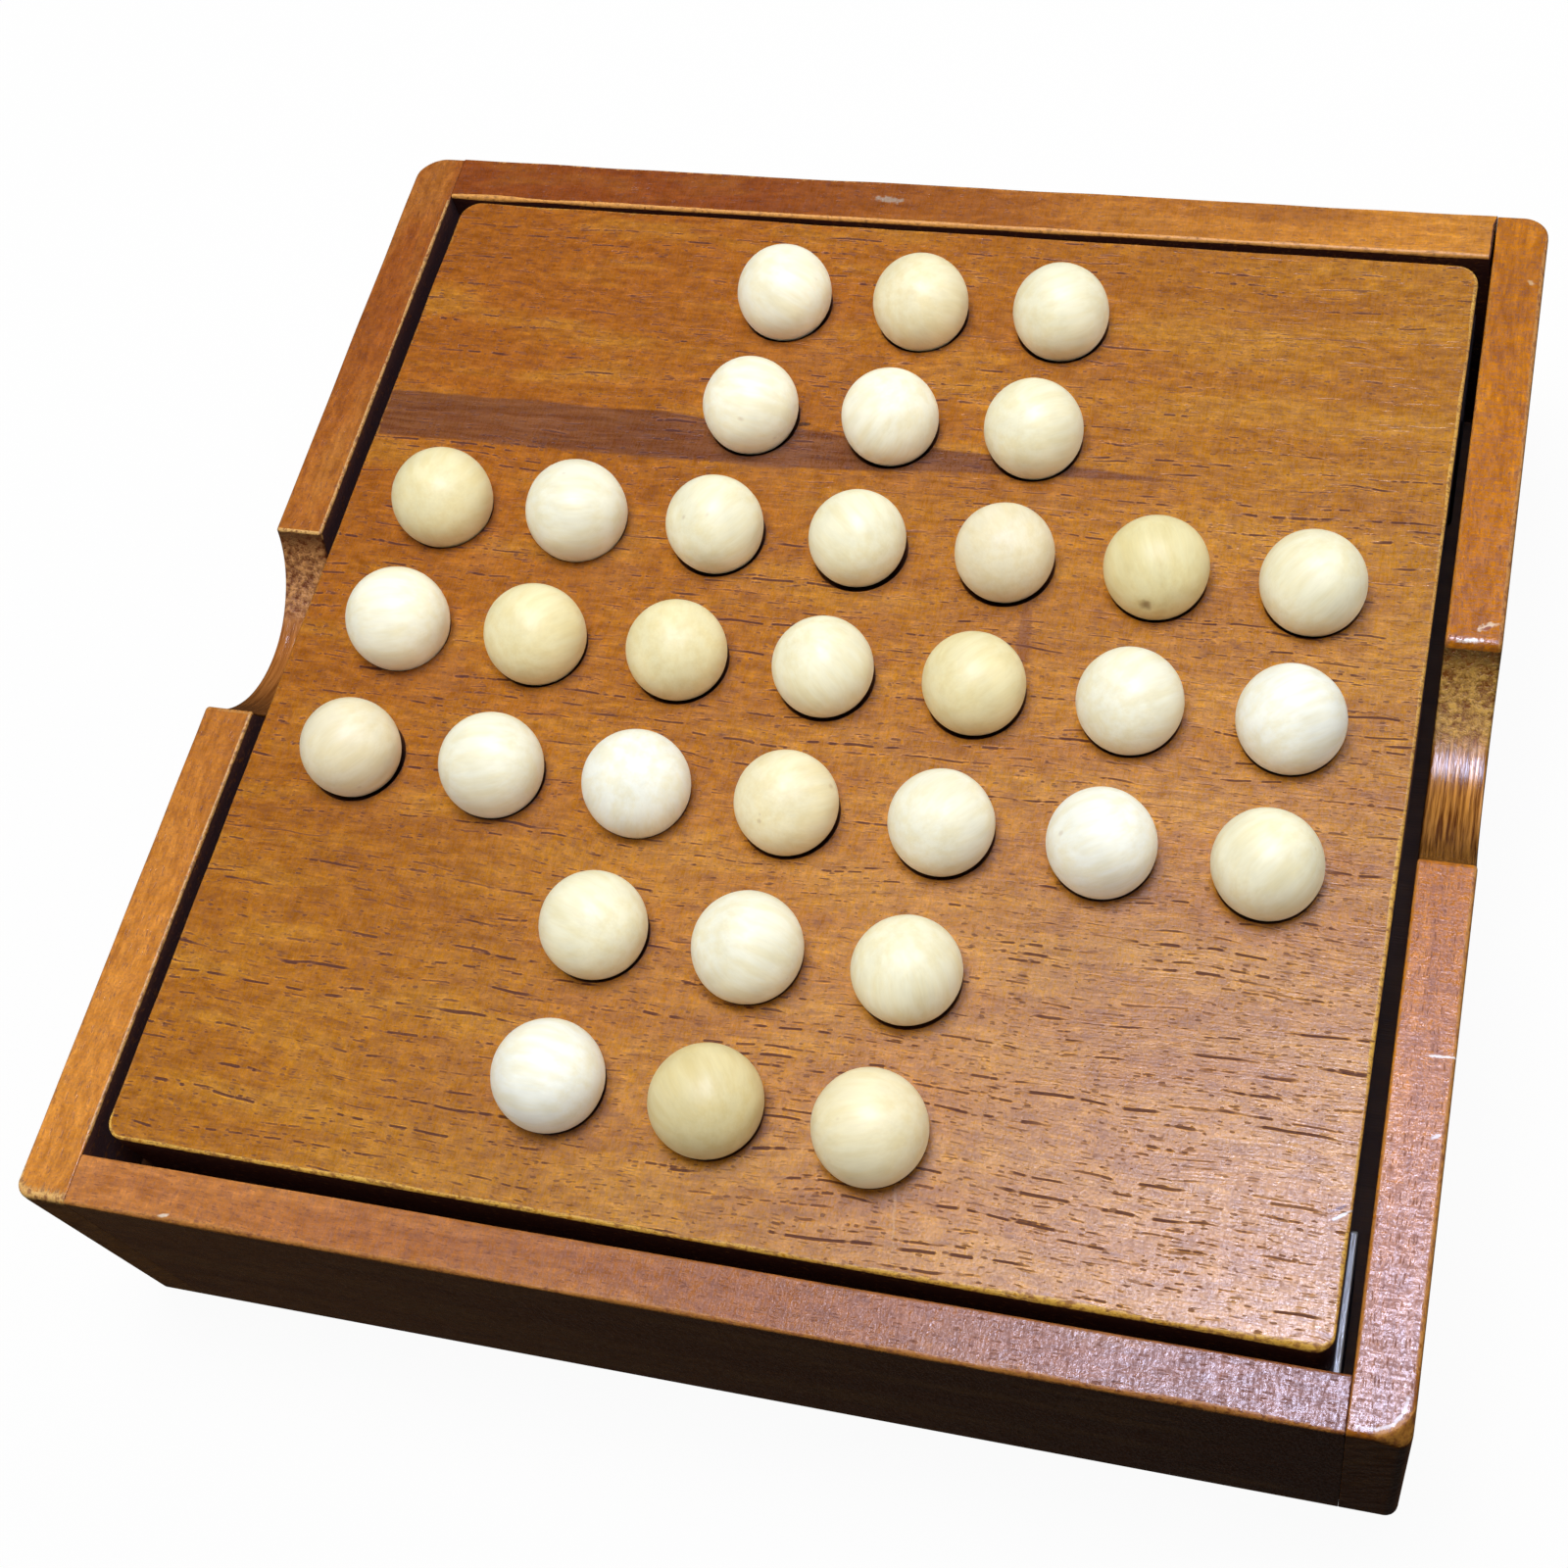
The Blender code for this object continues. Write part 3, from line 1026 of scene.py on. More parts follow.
@dataclass(frozen=True)
class EndRail:
    """The front or back rail, butted between the side rails."""

    name: str
    node: str
    outside: int
    inner_arris: float
    outer_arris: float
    inner_wear: float
    outer_wear: float
    left_grime: float
    right_grime: float
    seed: float
    joint_gap: float = 0.015 * MM
    right_opening: float = 0.0
    joint_arris: float = 0.08 * MM

    def section(self, low: Vector, high: Vector, x: float) -> list[OutlinePoint]:
        """Draws the rail's section at a place along it, Y across and Z up.

        Args:
            low: The rail's lowest corner.
            high: Its highest corner.
            x: The place along the rail.

        Returns:
            The section with its outward directions.
        """
        foot = FOOT_ROUND
        outer = self.outer_arris * (1 + 0.3 * unevenness(x, 8 * MM, self.seed))
        inner = self.inner_arris * (1 + 0.3 * unevenness(x, 7 * MM, self.seed + 1))
        # The inner face stands in the slot beside the board and gets painted shade.
        edges = [(outer, self.outer_wear, 0.0), (inner, self.inner_wear, SLOT_PAINTED_SHADE)]
        (front, front_wear, front_painted_shade), (back, back_wear, back_painted_shade) = edges[::-self.outside]
        points = arc((low.y + foot, low.z + foot), foot, 180, 270, 3, 0.4)
        points += straight((low.y + foot, low.z), (high.y - foot, low.z), 2 * MM, (0, -1))
        points += arc((high.y - foot, low.z + foot), foot, 270, 360, 3, 0.4)
        points += straight((high.y, low.z + foot), (high.y, high.z - back), 4 * MM, (1, 0), back_painted_shade)
        points += [OutlinePoint(high.y, high.z - back - 0.05 * MM, 1, 0, grime=back_painted_shade)]
        points += arc((high.y - back, high.z - back), back, 0, 90, 5, back_wear)
        edge = 0.12 * MM
        points += [OutlinePoint(high.y - back - edge, high.z, 0, 1)]
        points += straight((high.y - back - edge, high.z), (low.y + front + edge, high.z), 1 * MM, (0, 1))
        points += [OutlinePoint(low.y + front + edge, high.z, 0, 1)]
        points += arc((low.y + front, high.z - front), front, 90, 180, 5, front_wear)
        points += [OutlinePoint(low.y, high.z - front - 0.05 * MM, -1, 0, grime=front_painted_shade)]
        points += straight((low.y, high.z - front), (low.y, low.z + foot), 4 * MM, (-1, 0), front_painted_shade)
        return points

    def build(self, finish: Material, inner_left: float, inner_right: float) -> Object:
        """Builds the rail and lets it stand for its node.

        Args:
            finish: Its finish.
            inner_left: The inner face of the left rail.
            inner_right: The inner face of the right rail.

        Returns:
            The rail.
        """
        low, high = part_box(self.node)
        start, end, arris = inner_left + self.joint_gap, inner_right - self.joint_gap, self.joint_arris
        length = end - start
        depths = [0.0, arris * 0.13, arris * 0.5, arris, arris * 2.2]
        steps = math.ceil(length / (1.4 * MM))
        middles = [arris + (length - 2 * arris) * step / steps for step in range(1, steps)]
        rings = []
        for distance in depths + middles + [length - depth for depth in reversed(depths)]:
            from_end = min(distance, length - distance)
            pulled = round_inset(arris, from_end)
            grime = self.left_grime if distance < length / 2 else self.right_grime
            grime *= 1 - ease(from_end, arris * 0.9, arris * 2.2)
            x = start + distance
            opening = self.right_opening * ease(distance, length - 4 * MM, length)
            ring = []
            for point in self.section(low, high, x):
                shown = point.up > high.z - 0.5 * MM
                drawn = pulled * (1.0 if shown else 0.15)
                opened = opening * ease(point.up, high.z - 1.8 * MM, high.z - 0.6 * MM)
                face = self.outside * high.y
                opened *= 1 - ease(self.outside * point.across, face - 1.2 * MM, face - 0.6 * MM)
                y, z = point.pulled_in(drawn)
                dark = max(grime if shown else 0.0, point.grime)
                ring.append(RingPoint(Vector((x - opened, y, z)), point.wear, dark))
            rings.append(ring)
        rail = add_object(self.name, loft(self.name, rings, (finish,)))
        hand_over(rail, "box", self.node)
        return rail


@dataclass(frozen=True)
class InnerPiece:
    """A plain sawn piece inside the box, with its edges eased by sandpaper."""

    name: str
    node: str
    slot: str
    grow: float
    arris: float = 0.25 * MM

    def build(self, finish: Material) -> Object:
        """Builds the piece and lets it stand for its node.

        Args:
            finish: Its finish.

        Returns:
            The piece.
        """
        low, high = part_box(self.node)
        low, high = low - Vector((self.grow, self.grow, 0)), high + Vector((self.grow, self.grow, 0))
        arris = self.arris
        plan = arc((low.x + arris, low.y + arris), arris, 180, 270, 3)
        plan += arc((high.x - arris, low.y + arris), arris, 270, 360, 3)
        plan += arc((high.x - arris, high.y - arris), arris, 0, 90, 3)
        plan += arc((low.x + arris, high.y - arris), arris, 90, 180, 3)
        height = high.z - low.z
        depths = [arris * share for share in (0, 0.13, 0.5, 1)]
        rings = []
        for z in depths + [height / 2] + [height - depth for depth in reversed(depths)]:
            pulled = 0.98 * round_inset(arris, min(z, height - z))
            rings.append([RingPoint(Vector((*point.pulled_in(pulled), low.z + z)), 0.0) for point in plan])
        piece = add_object(self.name, loft(self.name, rings, (finish,)))
        hand_over(piece, "box", self.node)
        return piece


class Tone(Enum):
    """The tones that the balls are sorted into, as sRGB colours."""

    BRIGHT = "#FBF8DF"
    WHITE = "#F6F7E8"
    PALE = "#F3F1D9"
    CREAM = "#F2EECE"
    STRAW = "#F2E9C2"
    TAN = "#EDE3B4"
    OLIVE = "#E7DDAA"
    DARK_TAN = "#DED19E"
    ROSY = "#ECE3C2"


@dataclass(frozen=True)
class Ball:
    """How one ball came off the lathe: its tone, its size against the others, and a pit if it has one."""

    tone: Tone
    size: float = 1.0
    pit: float = 0.0


@dataclass(frozen=True)
class BallSet:
    """The 33 balls in the dimples, row by row from the front and column by column from the left."""

    radius: float = 5.1 * MM
    roughly_round: float = 0.012
    balls: tuple[tuple[int, int, Ball], ...] = (
        (1, 3, Ball(Tone.WHITE, 1.0)), (1, 4, Ball(Tone.DARK_TAN, 1.0)), (1, 5, Ball(Tone.STRAW, 1.01)),
        (2, 3, Ball(Tone.CREAM, 0.985)), (2, 4, Ball(Tone.PALE, 1.01)), (2, 5, Ball(Tone.CREAM, 0.975)),
        (3, 1, Ball(Tone.ROSY, 0.955)), (3, 2, Ball(Tone.PALE, 1.0)), (3, 3, Ball(Tone.WHITE, 1.01)),
        (3, 4, Ball(Tone.STRAW, 0.965)), (3, 5, Ball(Tone.PALE, 0.97)), (3, 6, Ball(Tone.WHITE, 0.995)),
        (3, 7, Ball(Tone.CREAM, 0.99)), (4, 1, Ball(Tone.BRIGHT, 1.02)), (4, 2, Ball(Tone.TAN, 0.99)),
        (4, 3, Ball(Tone.TAN, 0.965)), (4, 4, Ball(Tone.CREAM, 0.96)), (4, 5, Ball(Tone.TAN, 0.97)),
        (4, 6, Ball(Tone.PALE, 0.985)), (4, 7, Ball(Tone.WHITE, 1.0)), (5, 1, Ball(Tone.TAN, 1.01)),
        (5, 2, Ball(Tone.PALE, 1.02)), (5, 3, Ball(Tone.CREAM, 0.965)), (5, 4, Ball(Tone.CREAM, 0.945)),
        (5, 5, Ball(Tone.ROSY, 0.95)), (5, 6, Ball(Tone.OLIVE, 0.99, 0.7)), (5, 7, Ball(Tone.CREAM, 0.99)),
        (6, 3, Ball(Tone.BRIGHT, 0.975)), (6, 4, Ball(Tone.BRIGHT, 0.97)), (6, 5, Ball(Tone.CREAM, 0.98)),
        (7, 3, Ball(Tone.BRIGHT, 0.98)), (7, 4, Ball(Tone.STRAW, 0.98)), (7, 5, Ball(Tone.CREAM, 0.975)))

    def tree(self) -> tuple[bpy.types.NodeTree, dict[str, str]]:
        """Builds the Geometry Nodes tree that turns one ball.

        Returns:
            The tree, and the identifier of each input by its name.
        """
        tree, names = new_group("turned_ball", "Ball", {
            "Radius": "Float", "Out Of Round": "Float", "Squash": "Float", "Seed": "Float", "Pit": "Float",
            "Pit Side": "Vector", "Middle": "Vector", "Lean": "Vector", "Tone": "Color",
            "Finish": "Material"})
        add = partial(add_node, tree)
        given = add("NodeGroupInput").outputs
        sphere = add("GeometryNodeMeshIcoSphere", {"Radius": 1.0, "Subdivisions": 5})
        place = add("GeometryNodeInputPosition")
        apart = add("VectorMath", (13.7, 7.3, 3.1), given["Seed"], operation="SCALE")
        seeded = add("VectorMath", place, apart)
        lumps = add("TexNoise", seeded, 0.9, 1.0)
        centred = add("Math", lumps, 0.5, operation="SUBTRACT")
        swell = add("Math", centred, given["Out Of Round"], 1.0, operation="MULTIPLY_ADD")
        facing = add("VectorMath", place, given["Pit Side"], operation="DOT_PRODUCT")
        torn = add("TexNoise", seeded, 14.0, 2.0)
        ragged = add("Math", torn, 0.008, facing, operation="MULTIPLY_ADD")
        hollow = add("MapRange", ragged, 0.994, 1.003, interpolation_type="SMOOTHSTEP")
        sunk = add("Math", hollow, given["Pit"], operation="MULTIPLY")
        dented = add("Math", sunk, -0.045, swell, operation="MULTIPLY_ADD")
        lumpy = add("VectorMath", place, dented, operation="SCALE")
        turned_place = add("VectorMath", seeded, self.radius / MM, operation="SCALE")
        stored = add(
            "GeometryNodeStoreNamedAttribute",
            {"Geometry": sphere, "Name": "turned_place", "Value": turned_place}, data_type="FLOAT_VECTOR")
        toned = add(
            "GeometryNodeStoreNamedAttribute",
            {"Geometry": stored, "Name": "ball_tone", "Value": given["Tone"]}, data_type="FLOAT_COLOR")
        pitted = add(
            "GeometryNodeStoreNamedAttribute", {"Geometry": toned, "Name": "pit", "Value": sunk},
            data_type="FLOAT")
        shaped = add("GeometryNodeSetPosition", {"Geometry": pitted, "Position": lumpy})
        flat = add("CombineXYZ", 1.0, 1.0, given["Squash"])
        squashed = add("GeometryNodeTransform", {"Geometry": shaped, "Scale": flat})
        sized = add("CombineXYZ", given["Radius"], given["Radius"], given["Radius"])
        set_down = add("GeometryNodeTransform", {
            "Geometry": squashed, "Translation": given["Middle"], "Rotation": given["Lean"],
            "Scale": sized})
        smooth = add("GeometryNodeSetShadeSmooth", {"Geometry": set_down})
        real = add("GeometryNodeRealizeInstances", {"Geometry": smooth})
        finished = add("GeometryNodeSetMaterial", {"Geometry": real, "Material": given["Finish"]})
        add("NodeGroupOutput", finished)
        return tree, names

    def build(self, finish: Material) -> list[Object]:
        """Turns the balls and sets each where its node stands.

        Args:
            finish: The finish of all the balls.

        Returns:
            The balls.
        """
        group = self.tree()
        made = []
        for number, (row, column, ball) in enumerate(self.balls):
            node = f"ball_r{row}_c{column}"
            low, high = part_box(node)
            seed = number + 1.0
            lean = [math.pi * noise.noise(Vector((seed * 1.7, axis * 5.3, 0.4))) * 1.6 for axis in range(3)]
            turns = [Matrix.Rotation(angle, 3, axis) for angle, axis in zip(lean, "XYZ")]
            turn = turns[2] @ turns[1] @ turns[0]
            pit_side = turn.inverted() @ Vector((-0.03, -0.985, 0.17)).normalized()
            values = {
                "Radius": self.radius * ball.size, "Out Of Round": self.roughly_round * 2.5,
                "Squash": 0.985 + 0.012 * noise.noise(Vector((seed, 2.2, 9.1))), "Seed": seed,
                "Pit": ball.pit, "Pit Side": pit_side, "Middle": (low + high) / 2, "Lean": lean,
                "Tone": linear(ball.tone.value), "Finish": finish}
            piece = run_group("wooden_" + node, group, values)
            hand_over(piece, node, node, flat=False)
            made.append(piece)
        return made


@dataclass(frozen=True)
class PlayingBoard:
    """The loose board with rounded corners, worn edges and a dimple under every ball."""

    width: float = 111.6 * MM
    depth: float = 112.1 * MM
    turn: float = math.radians(-0.31)
    front_left_radius: float = 1.9 * MM
    front_right_radius: float = 1.6 * MM
    back_radius: float = 2.4 * MM
    dimple_radius: float = 5.26 * MM
    rim_round: float = 0.1 * MM
    front_arris: float = 0.5 * MM
    other_arris: float = 0.3 * MM

    def plan(self) -> list[OutlinePoint]:
        """Draws the board seen from above, X across and Y up the page, about its own middle.

        Returns:
            The outline, whose wear is that of each edge.
        """
        half_width, half_depth = self.width / 2, self.depth / 2
        left, right, back = self.front_left_radius, self.front_right_radius, self.back_radius
        points = arc((-half_width + left, -half_depth + left), left, 180, 270, 8, 1.0)
        points += straight(
            (-half_width + left, -half_depth), (half_width - right, -half_depth), 1 * MM, (0, -1))
        points += arc((half_width - right, -half_depth + right), right, 270, 360, 8, 1.0)
        points += straight(
            (half_width, -half_depth + right), (half_width, half_depth - back), 1 * MM, (1, 0))
        points += arc((half_width - back, half_depth - back), back, 0, 90, 8, 0.5)
        points += straight(
            (half_width - back, half_depth), (-half_width + back, half_depth), 1 * MM, (0, 1))
        points += arc((-half_width + back, half_depth - back), back, 90, 180, 8, 0.5)
        points += straight(
            (-half_width, half_depth - back), (-half_width, -half_depth + left), 1 * MM, (-1, 0))
        return points

    def edge(self, point: OutlinePoint) -> tuple[float, float]:
        """Gives the arris radius and the wear of the top edge at a point of the plan.

        Args:
            point: The point.

        Returns:
            The radius and the wear.
        """
        along = point.across if abs(point.out_up) > 0.5 else point.up
        waver = unevenness(along, 6 * MM, 3.0 + 2 * round(point.out_across) + round(point.out_up))
        front = max(-point.out_up, 0.0)
        right_share = ease(point.across, -0.4 * self.width, 0.5 * self.width)
        radius = self.other_arris + (self.front_arris - self.other_arris) * front * right_share
        side_wear = 0.72 * max(point.out_across, 0) + 0.35 * max(-point.out_across, 0)
        side_wear += 0.4 * max(point.out_up, 0)
        wear = max(side_wear, front * 0.8, point.wear * 0.95)
        return radius * (1 + 0.3 * waver), wear + 0.12 * waver

    def dimple_unit(self, middle_height: float) -> Object:
        """Turns the cutter for one dimple: a ball shape whose rim opens out in a small round.

        Args:
            middle_height: The ball's centre above the board's top face.

        Returns:
            The cutter about the ball's centre.
        """
        radius, rim = self.dimple_radius, self.rim_round
        level = -middle_height
        top_angle = math.asin(level / radius)
        angles = [-math.pi / 2 + (top_angle - 0.05 + math.pi / 2) * step / 22 for step in range(23)]
        profile = [(radius * math.cos(angle), radius * math.sin(angle)) for angle in angles]
        start = profile[-1]
        profile += [
            (start[0] + rim * 0.45, start[1] + rim * 0.75), (start[0] + rim * 1.0, level - 0.02 * MM),
            (start[0] + rim * 1.9, level + 0.03 * MM), (start[0] + rim * 1.9, level + 1.2 * MM)]
        around = [2 * math.pi * step / 64 for step in range(64)]
        build = bmesh.new()
        foot = build.verts.new((0, 0, profile[0][1]))
        rows = [
            [build.verts.new((r * math.cos(angle), r * math.sin(angle), z)) for angle in around]
            for r, z in profile[1:]]
        for k in range(len(around)):
            after = (k + 1) % len(around)
            build.faces.new((foot, rows[0][after], rows[0][k]))
            for lower, upper in zip(rows, rows[1:]):
                build.faces.new((lower[k], lower[after], upper[after], upper[k]))
        build.faces.new(rows[-1])
        bmesh.ops.recalc_face_normals(build, faces=build.faces)
        mesh = bpy.data.meshes.new("dimple_unit")
        build.to_mesh(mesh)
        build.free()
        return add_object("dimple_unit", mesh)

    def dimple_tree(self) -> tuple[bpy.types.NodeTree, dict[str, str]]:
        """Builds the Geometry Nodes tree that sets the cutter at every place of the cross.

        Returns:
            The tree, and the identifier of each input by its name.
        """
        tree, names = new_group("cross_of_dimples", "Dimples", {
            "Pitch": "Float", "Places Across": "Int", "Half Arm": "Float", "Middle": "Vector",
            "Turn": "Vector", "Unit": "Object", "Finish": "Material"})
        add = partial(add_node, tree)
        given = add("NodeGroupInput").outputs
        gaps = add("Math", given["Places Across"], 1.0, operation="SUBTRACT")
        span = add("Math", gaps, given["Pitch"], operation="MULTIPLY")
        grid = add("GeometryNodeMeshGrid", {
            "Size X": span, "Size Y": span, "Vertices X": given["Places Across"],
            "Vertices Y": given["Places Across"]})
        place = add("GeometryNodeInputPosition")
        size = add("VectorMath", place, operation="ABSOLUTE")
        axes = add("SeparateXYZ", size)
        nearer = add("Math", axes.outputs[0], axes.outputs[1], operation="MINIMUM")
        arm = add("Math", given["Half Arm"], given["Pitch"], operation="MULTIPLY")
        outside = add("Math", nearer, arm, operation="GREATER_THAN")
        cross = add("GeometryNodeDeleteGeometry", {"Geometry": grid, "Selection": outside})
        unit = add("GeometryNodeObjectInfo", {"Object": given["Unit"]})
        copies = add("GeometryNodeInstanceOnPoints", {
            "Points": cross, "Instance": unit.outputs["Geometry"]})
        real = add("GeometryNodeRealizeInstances", {"Geometry": copies})
        moved = add("GeometryNodeTransform", {
            "Geometry": real, "Translation": given["Middle"], "Rotation": given["Turn"]})
        finished = add("GeometryNodeSetMaterial", {"Geometry": moved, "Material": given["Finish"]})
        add("NodeGroupOutput", finished)
        return tree, names

    def build(self, finish: Material, dimple_finish: Material) -> Object:
        """Builds the board, cuts the dimples and lets it stand for its node.

        Args:
            finish: The stained finish of the board.
            dimple_finish: The finish inside the dimples, painted dark as painted shade under the balls.

        Returns:
            The board.
        """
        low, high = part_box("playing_board")
        middle = Matrix.Translation(((low.x + high.x) / 2, (low.y + high.y) / 2, 0))
        place = middle @ Matrix.Rotation(self.turn, 4, "Z")
        plan = self.plan()
        edges = [self.edge(point) for point in plan]
        foot = 0.3 * MM
        heights = [(low.z + foot * share, foot) for share in (0.0, 0.2, 0.6)] + [(low.z + foot, 0.0)]
        heights += [(low.z + (high.z - low.z) * share, 0.0) for share in (0.35, 0.65)]
        rings = []
        # The board's sides stand in the slots and get painted shade, as does the foot of its top round.
        for z, size in heights:
            pulled = round_inset(size, z - low.z) if size else 0.0
            rings.append([self._point(place, point, pulled, z, 0.0, SLOT_PAINTED_SHADE) for point in plan])
        for share in (0.0, 0.3, 0.6, 0.85, 1.0):
            ring = []
            for point, (radius, wear) in zip(plan, edges):
                z = high.z - radius * (1 - math.sin(share * math.pi / 2))
                pulled = radius * (1 - math.cos(share * math.pi / 2))
                worn, grime = (0.3 * wear, SLOT_PAINTED_SHADE) if share == 0.0 else (wear, 0.0)
                ring.append(self._point(place, point, pulled, z, worn, grime))
            rings.append(ring)
        inner = [radius + 0.15 * MM for radius, _ in edges]
        rings.append([self._point(place, point, pulled, high.z, 0.0) for point, pulled in zip(plan, inner)])
        mesh = loft("stained_playing_board", rings, (finish, dimple_finish))
        board = add_object("stained_playing_board", mesh)
        cutter, unit = self._cutter(high.z, dimple_finish)
        cut = board.modifiers.new("Dimples", "BOOLEAN")
        cut.operation, cut.object, cut.material_mode = "DIFFERENCE", cutter, "TRANSFER"
        cut.solver = "EXACT"
        freeze(board)
        for helper in (cutter, unit):
            bpy.data.objects.remove(helper, do_unlink=True)
        board.data.set_sharp_from_angle(angle=math.radians(38))
        hand_over(board, "board", "playing_board")
        return board

    def _point(
            self, place: Matrix, point: OutlinePoint, pulled: float, z: float, wear: float,
            grime: float = 0.0) -> RingPoint:
        """Sets one point of the plan in the box at a height, pulled in from the full outline."""
        return RingPoint(place @ Vector((*point.pulled_in(pulled), z)), wear, grime)

    def _cutter(self, top: float, finish: Material) -> tuple[Object, Object]:
        """Makes the cutter for all the dimples, from where the balls' nodes stand."""
        centre, right = (sum(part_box(node), Vector()) / 2 for node in ("ball_r4_c4", "ball_r4_c7"))
        unit = self.dimple_unit(centre.z - top)
        cutter = run_group("dimple_cutter", self.dimple_tree(), {
            "Pitch": (right - centre).length / 3, "Places Across": 7, "Half Arm": 1.5, "Middle": centre,
            "Turn": (0.0, 0.0, self.turn), "Unit": unit, "Finish": finish})
        return cutter, unit


@dataclass(frozen=True)
class SoftLamp:
    """A soft square lamp aimed at the middle of the game.

    level is the share of plain white that it gives on a surface that faces it.
    """

    name: str
    place_mm: tuple[float, float, float]
    size_mm: float
    level: float
    colour: str = "#FFFFFF"
    diffuse: bool = True
    gloss: bool = True

    def build(self, receivers: bpy.types.Collection | None = None) -> Object:
        """Hangs the lamp.

        Args:
            receivers: The only pieces that it lights, or None for all.

        Returns:
            The lamp.
        """
        aim = Vector((0, 0, 25 * MM))
        place = Vector(self.place_mm) * MM
        light = bpy.data.lights.new(self.name, "AREA")
        light.shape, light.size = "SQUARE", self.size_mm * MM
        light.color = linear(self.colour)[:3]
        light.energy = self.level * math.pi ** 2 * (place - aim).length_squared
        lamp = bpy.data.objects.new(self.name, light)
        lamp.location = place
        lamp.rotation_euler = (aim - place).to_track_quat("-Z", "Y").to_euler()
        lamp.visible_diffuse, lamp.visible_glossy = self.diffuse, self.gloss
        lamp.light_linking.receiver_collection = receivers
        bpy.context.scene.collection.objects.link(lamp)
        return lamp


@dataclass(frozen=True)
class Studio:
    """The pale floor and backdrop, the lamps, and the camera where the photograph was taken."""

    camera_mm: tuple[float, float, float] = (58.13, -102.1, 211.56)
    camera_turn_deg: tuple[float, float, float] = (27.58, 8.87, 12.3)
    lens_mm: float = 51.44
    shift: tuple[float, float] = (-0.0695, 0.0248)
    room_level: float = 0.02
    floor_glow: float = 0.95

    def camera(self) -> None:
        """Sets up the camera. The shift stands for the photograph's off-centre crop."""
        data = bpy.data.cameras.new("photo_camera")
        data.sensor_width, data.lens = 36.0, self.lens_mm
        data.shift_x, data.shift_y = self.shift
        data.clip_start, data.clip_end = 0.01, 20.0
        camera = bpy.data.objects.new("photo_camera", data)
        camera.location = Vector(self.camera_mm) * MM
        camera.rotation_euler = [math.radians(angle) for angle in self.camera_turn_deg]
        bpy.context.scene.collection.objects.link(camera)
        bpy.context.scene.camera = camera

    def room(self) -> None:
        """Sets the dim, even light of the room and the plain view transform."""
        scene = bpy.context.scene
        scene.view_settings.view_transform = "Standard"
        scene.world = bpy.data.worlds.new("room")
        scene.world.use_nodes = True
        background = scene.world.node_tree.nodes["Background"]
        feed(background, {"Color": linear("#FFFFFF"), "Strength": self.room_level})

    def floor(self) -> None:
        """Lays a floor that curves up to a backdrop all round, as one sheet of matt white paper."""
        build = bmesh.new()
        profile = [(0.0, 0.0), (0.3, 0.0), (0.8, 0.0), (1.6, 0.0), (2.4, 0.0)]
        profile += [
            (2.4 + 1.2 * math.sin(math.radians(a)), 1.2 - 1.2 * math.cos(math.radians(a)))
            for a in range(10, 91, 10)]
        profile += [(3.6, 3.0), (3.6, 6.0)]
        around = [2 * math.pi * step / 96 for step in range(96)]
        centre = build.verts.new((0, 0, 0))
        rows = [
            [build.verts.new((r * math.cos(angle), r * math.sin(angle), z)) for angle in around]
            for r, z in profile[1:]]
        for k in range(len(around)):
            after = (k + 1) % len(around)
            build.faces.new((centre, rows[0][k], rows[0][after]))
            for lower, upper in zip(rows, rows[1:]):
                build.faces.new((lower[k], upper[k], upper[after], lower[after]))
        mesh = bpy.data.meshes.new("paper_floor")
        build.to_mesh(mesh)
        build.free()
        mesh.shade_smooth()
        mesh.materials.append(self.paper())
        floor = add_object("paper_floor", mesh)
        floor.visible_diffuse = floor.visible_glossy = floor.visible_shadow = False

    def paper(self) -> Material:
        """Makes matt white paper that the camera sees as evenly white, with a soft shadow of the game.

        Returns:
            The material.
        """
        material, add, shader = new_material("white_paper")
        feed(shader, {"Base Color": linear("#FAFAFA"), "Roughness": 0.9, "Specular IOR Level": 0.0})
        path = add("LightPath")
        seen = add(
            "Math", path.outputs["Is Camera Ray"], path.outputs["Is Glossy Ray"], operation="MAXIMUM")
        seen = add("Math", seen, path.outputs["Is Transmission Ray"], operation="MAXIMUM")
        share = add("Math", seen, self.floor_glow, operation="MULTIPLY")
        white = add("Emission", {"Color": linear("#FFFFFF"), "Strength": 1.0})
        mixed = add("MixShader", share, shader, white)
        feed(material.node_tree.nodes["Material Output"], {"Surface": mixed})
        return material

    def lamps(self, balls: list[Object]) -> None:
        """Hangs the lamps: one overhead, fills from the sides and back, and the window that shines on top.

        Args:
            balls: The balls, which two pale cards light alone.
        """
        receivers = bpy.data.collections.new("lit by the cards")
        for ball in balls:
            receivers.objects.link(ball)
        SoftLamp("front_card", (-60, -560, 400), 420, 0.26, gloss=False).build(receivers)
        SoftLamp("right_card", (560, 60, 400), 420, 0.27, gloss=False).build(receivers)
        SoftLamp("overhead", (-55, 60, 620), 300, 0.82, gloss=False).build()
        SoftLamp("left_fill", (-580, -130, 260), 380, 0.17).build()
        SoftLamp("right_fill", (500, 330, 260), 380, 0.2).build()
        SoftLamp("back_fill", (0, 620, 250), 380, 0.22, gloss=False).build()
        SoftLamp("window_gloss", (90, 40, 640), 260, 0.8, "#C6D6FF", diffuse=False).build()
        SoftLamp("window_pane", (90, 30, 640), 150, 0.6, "#CCD6FF", diffuse=False).build()


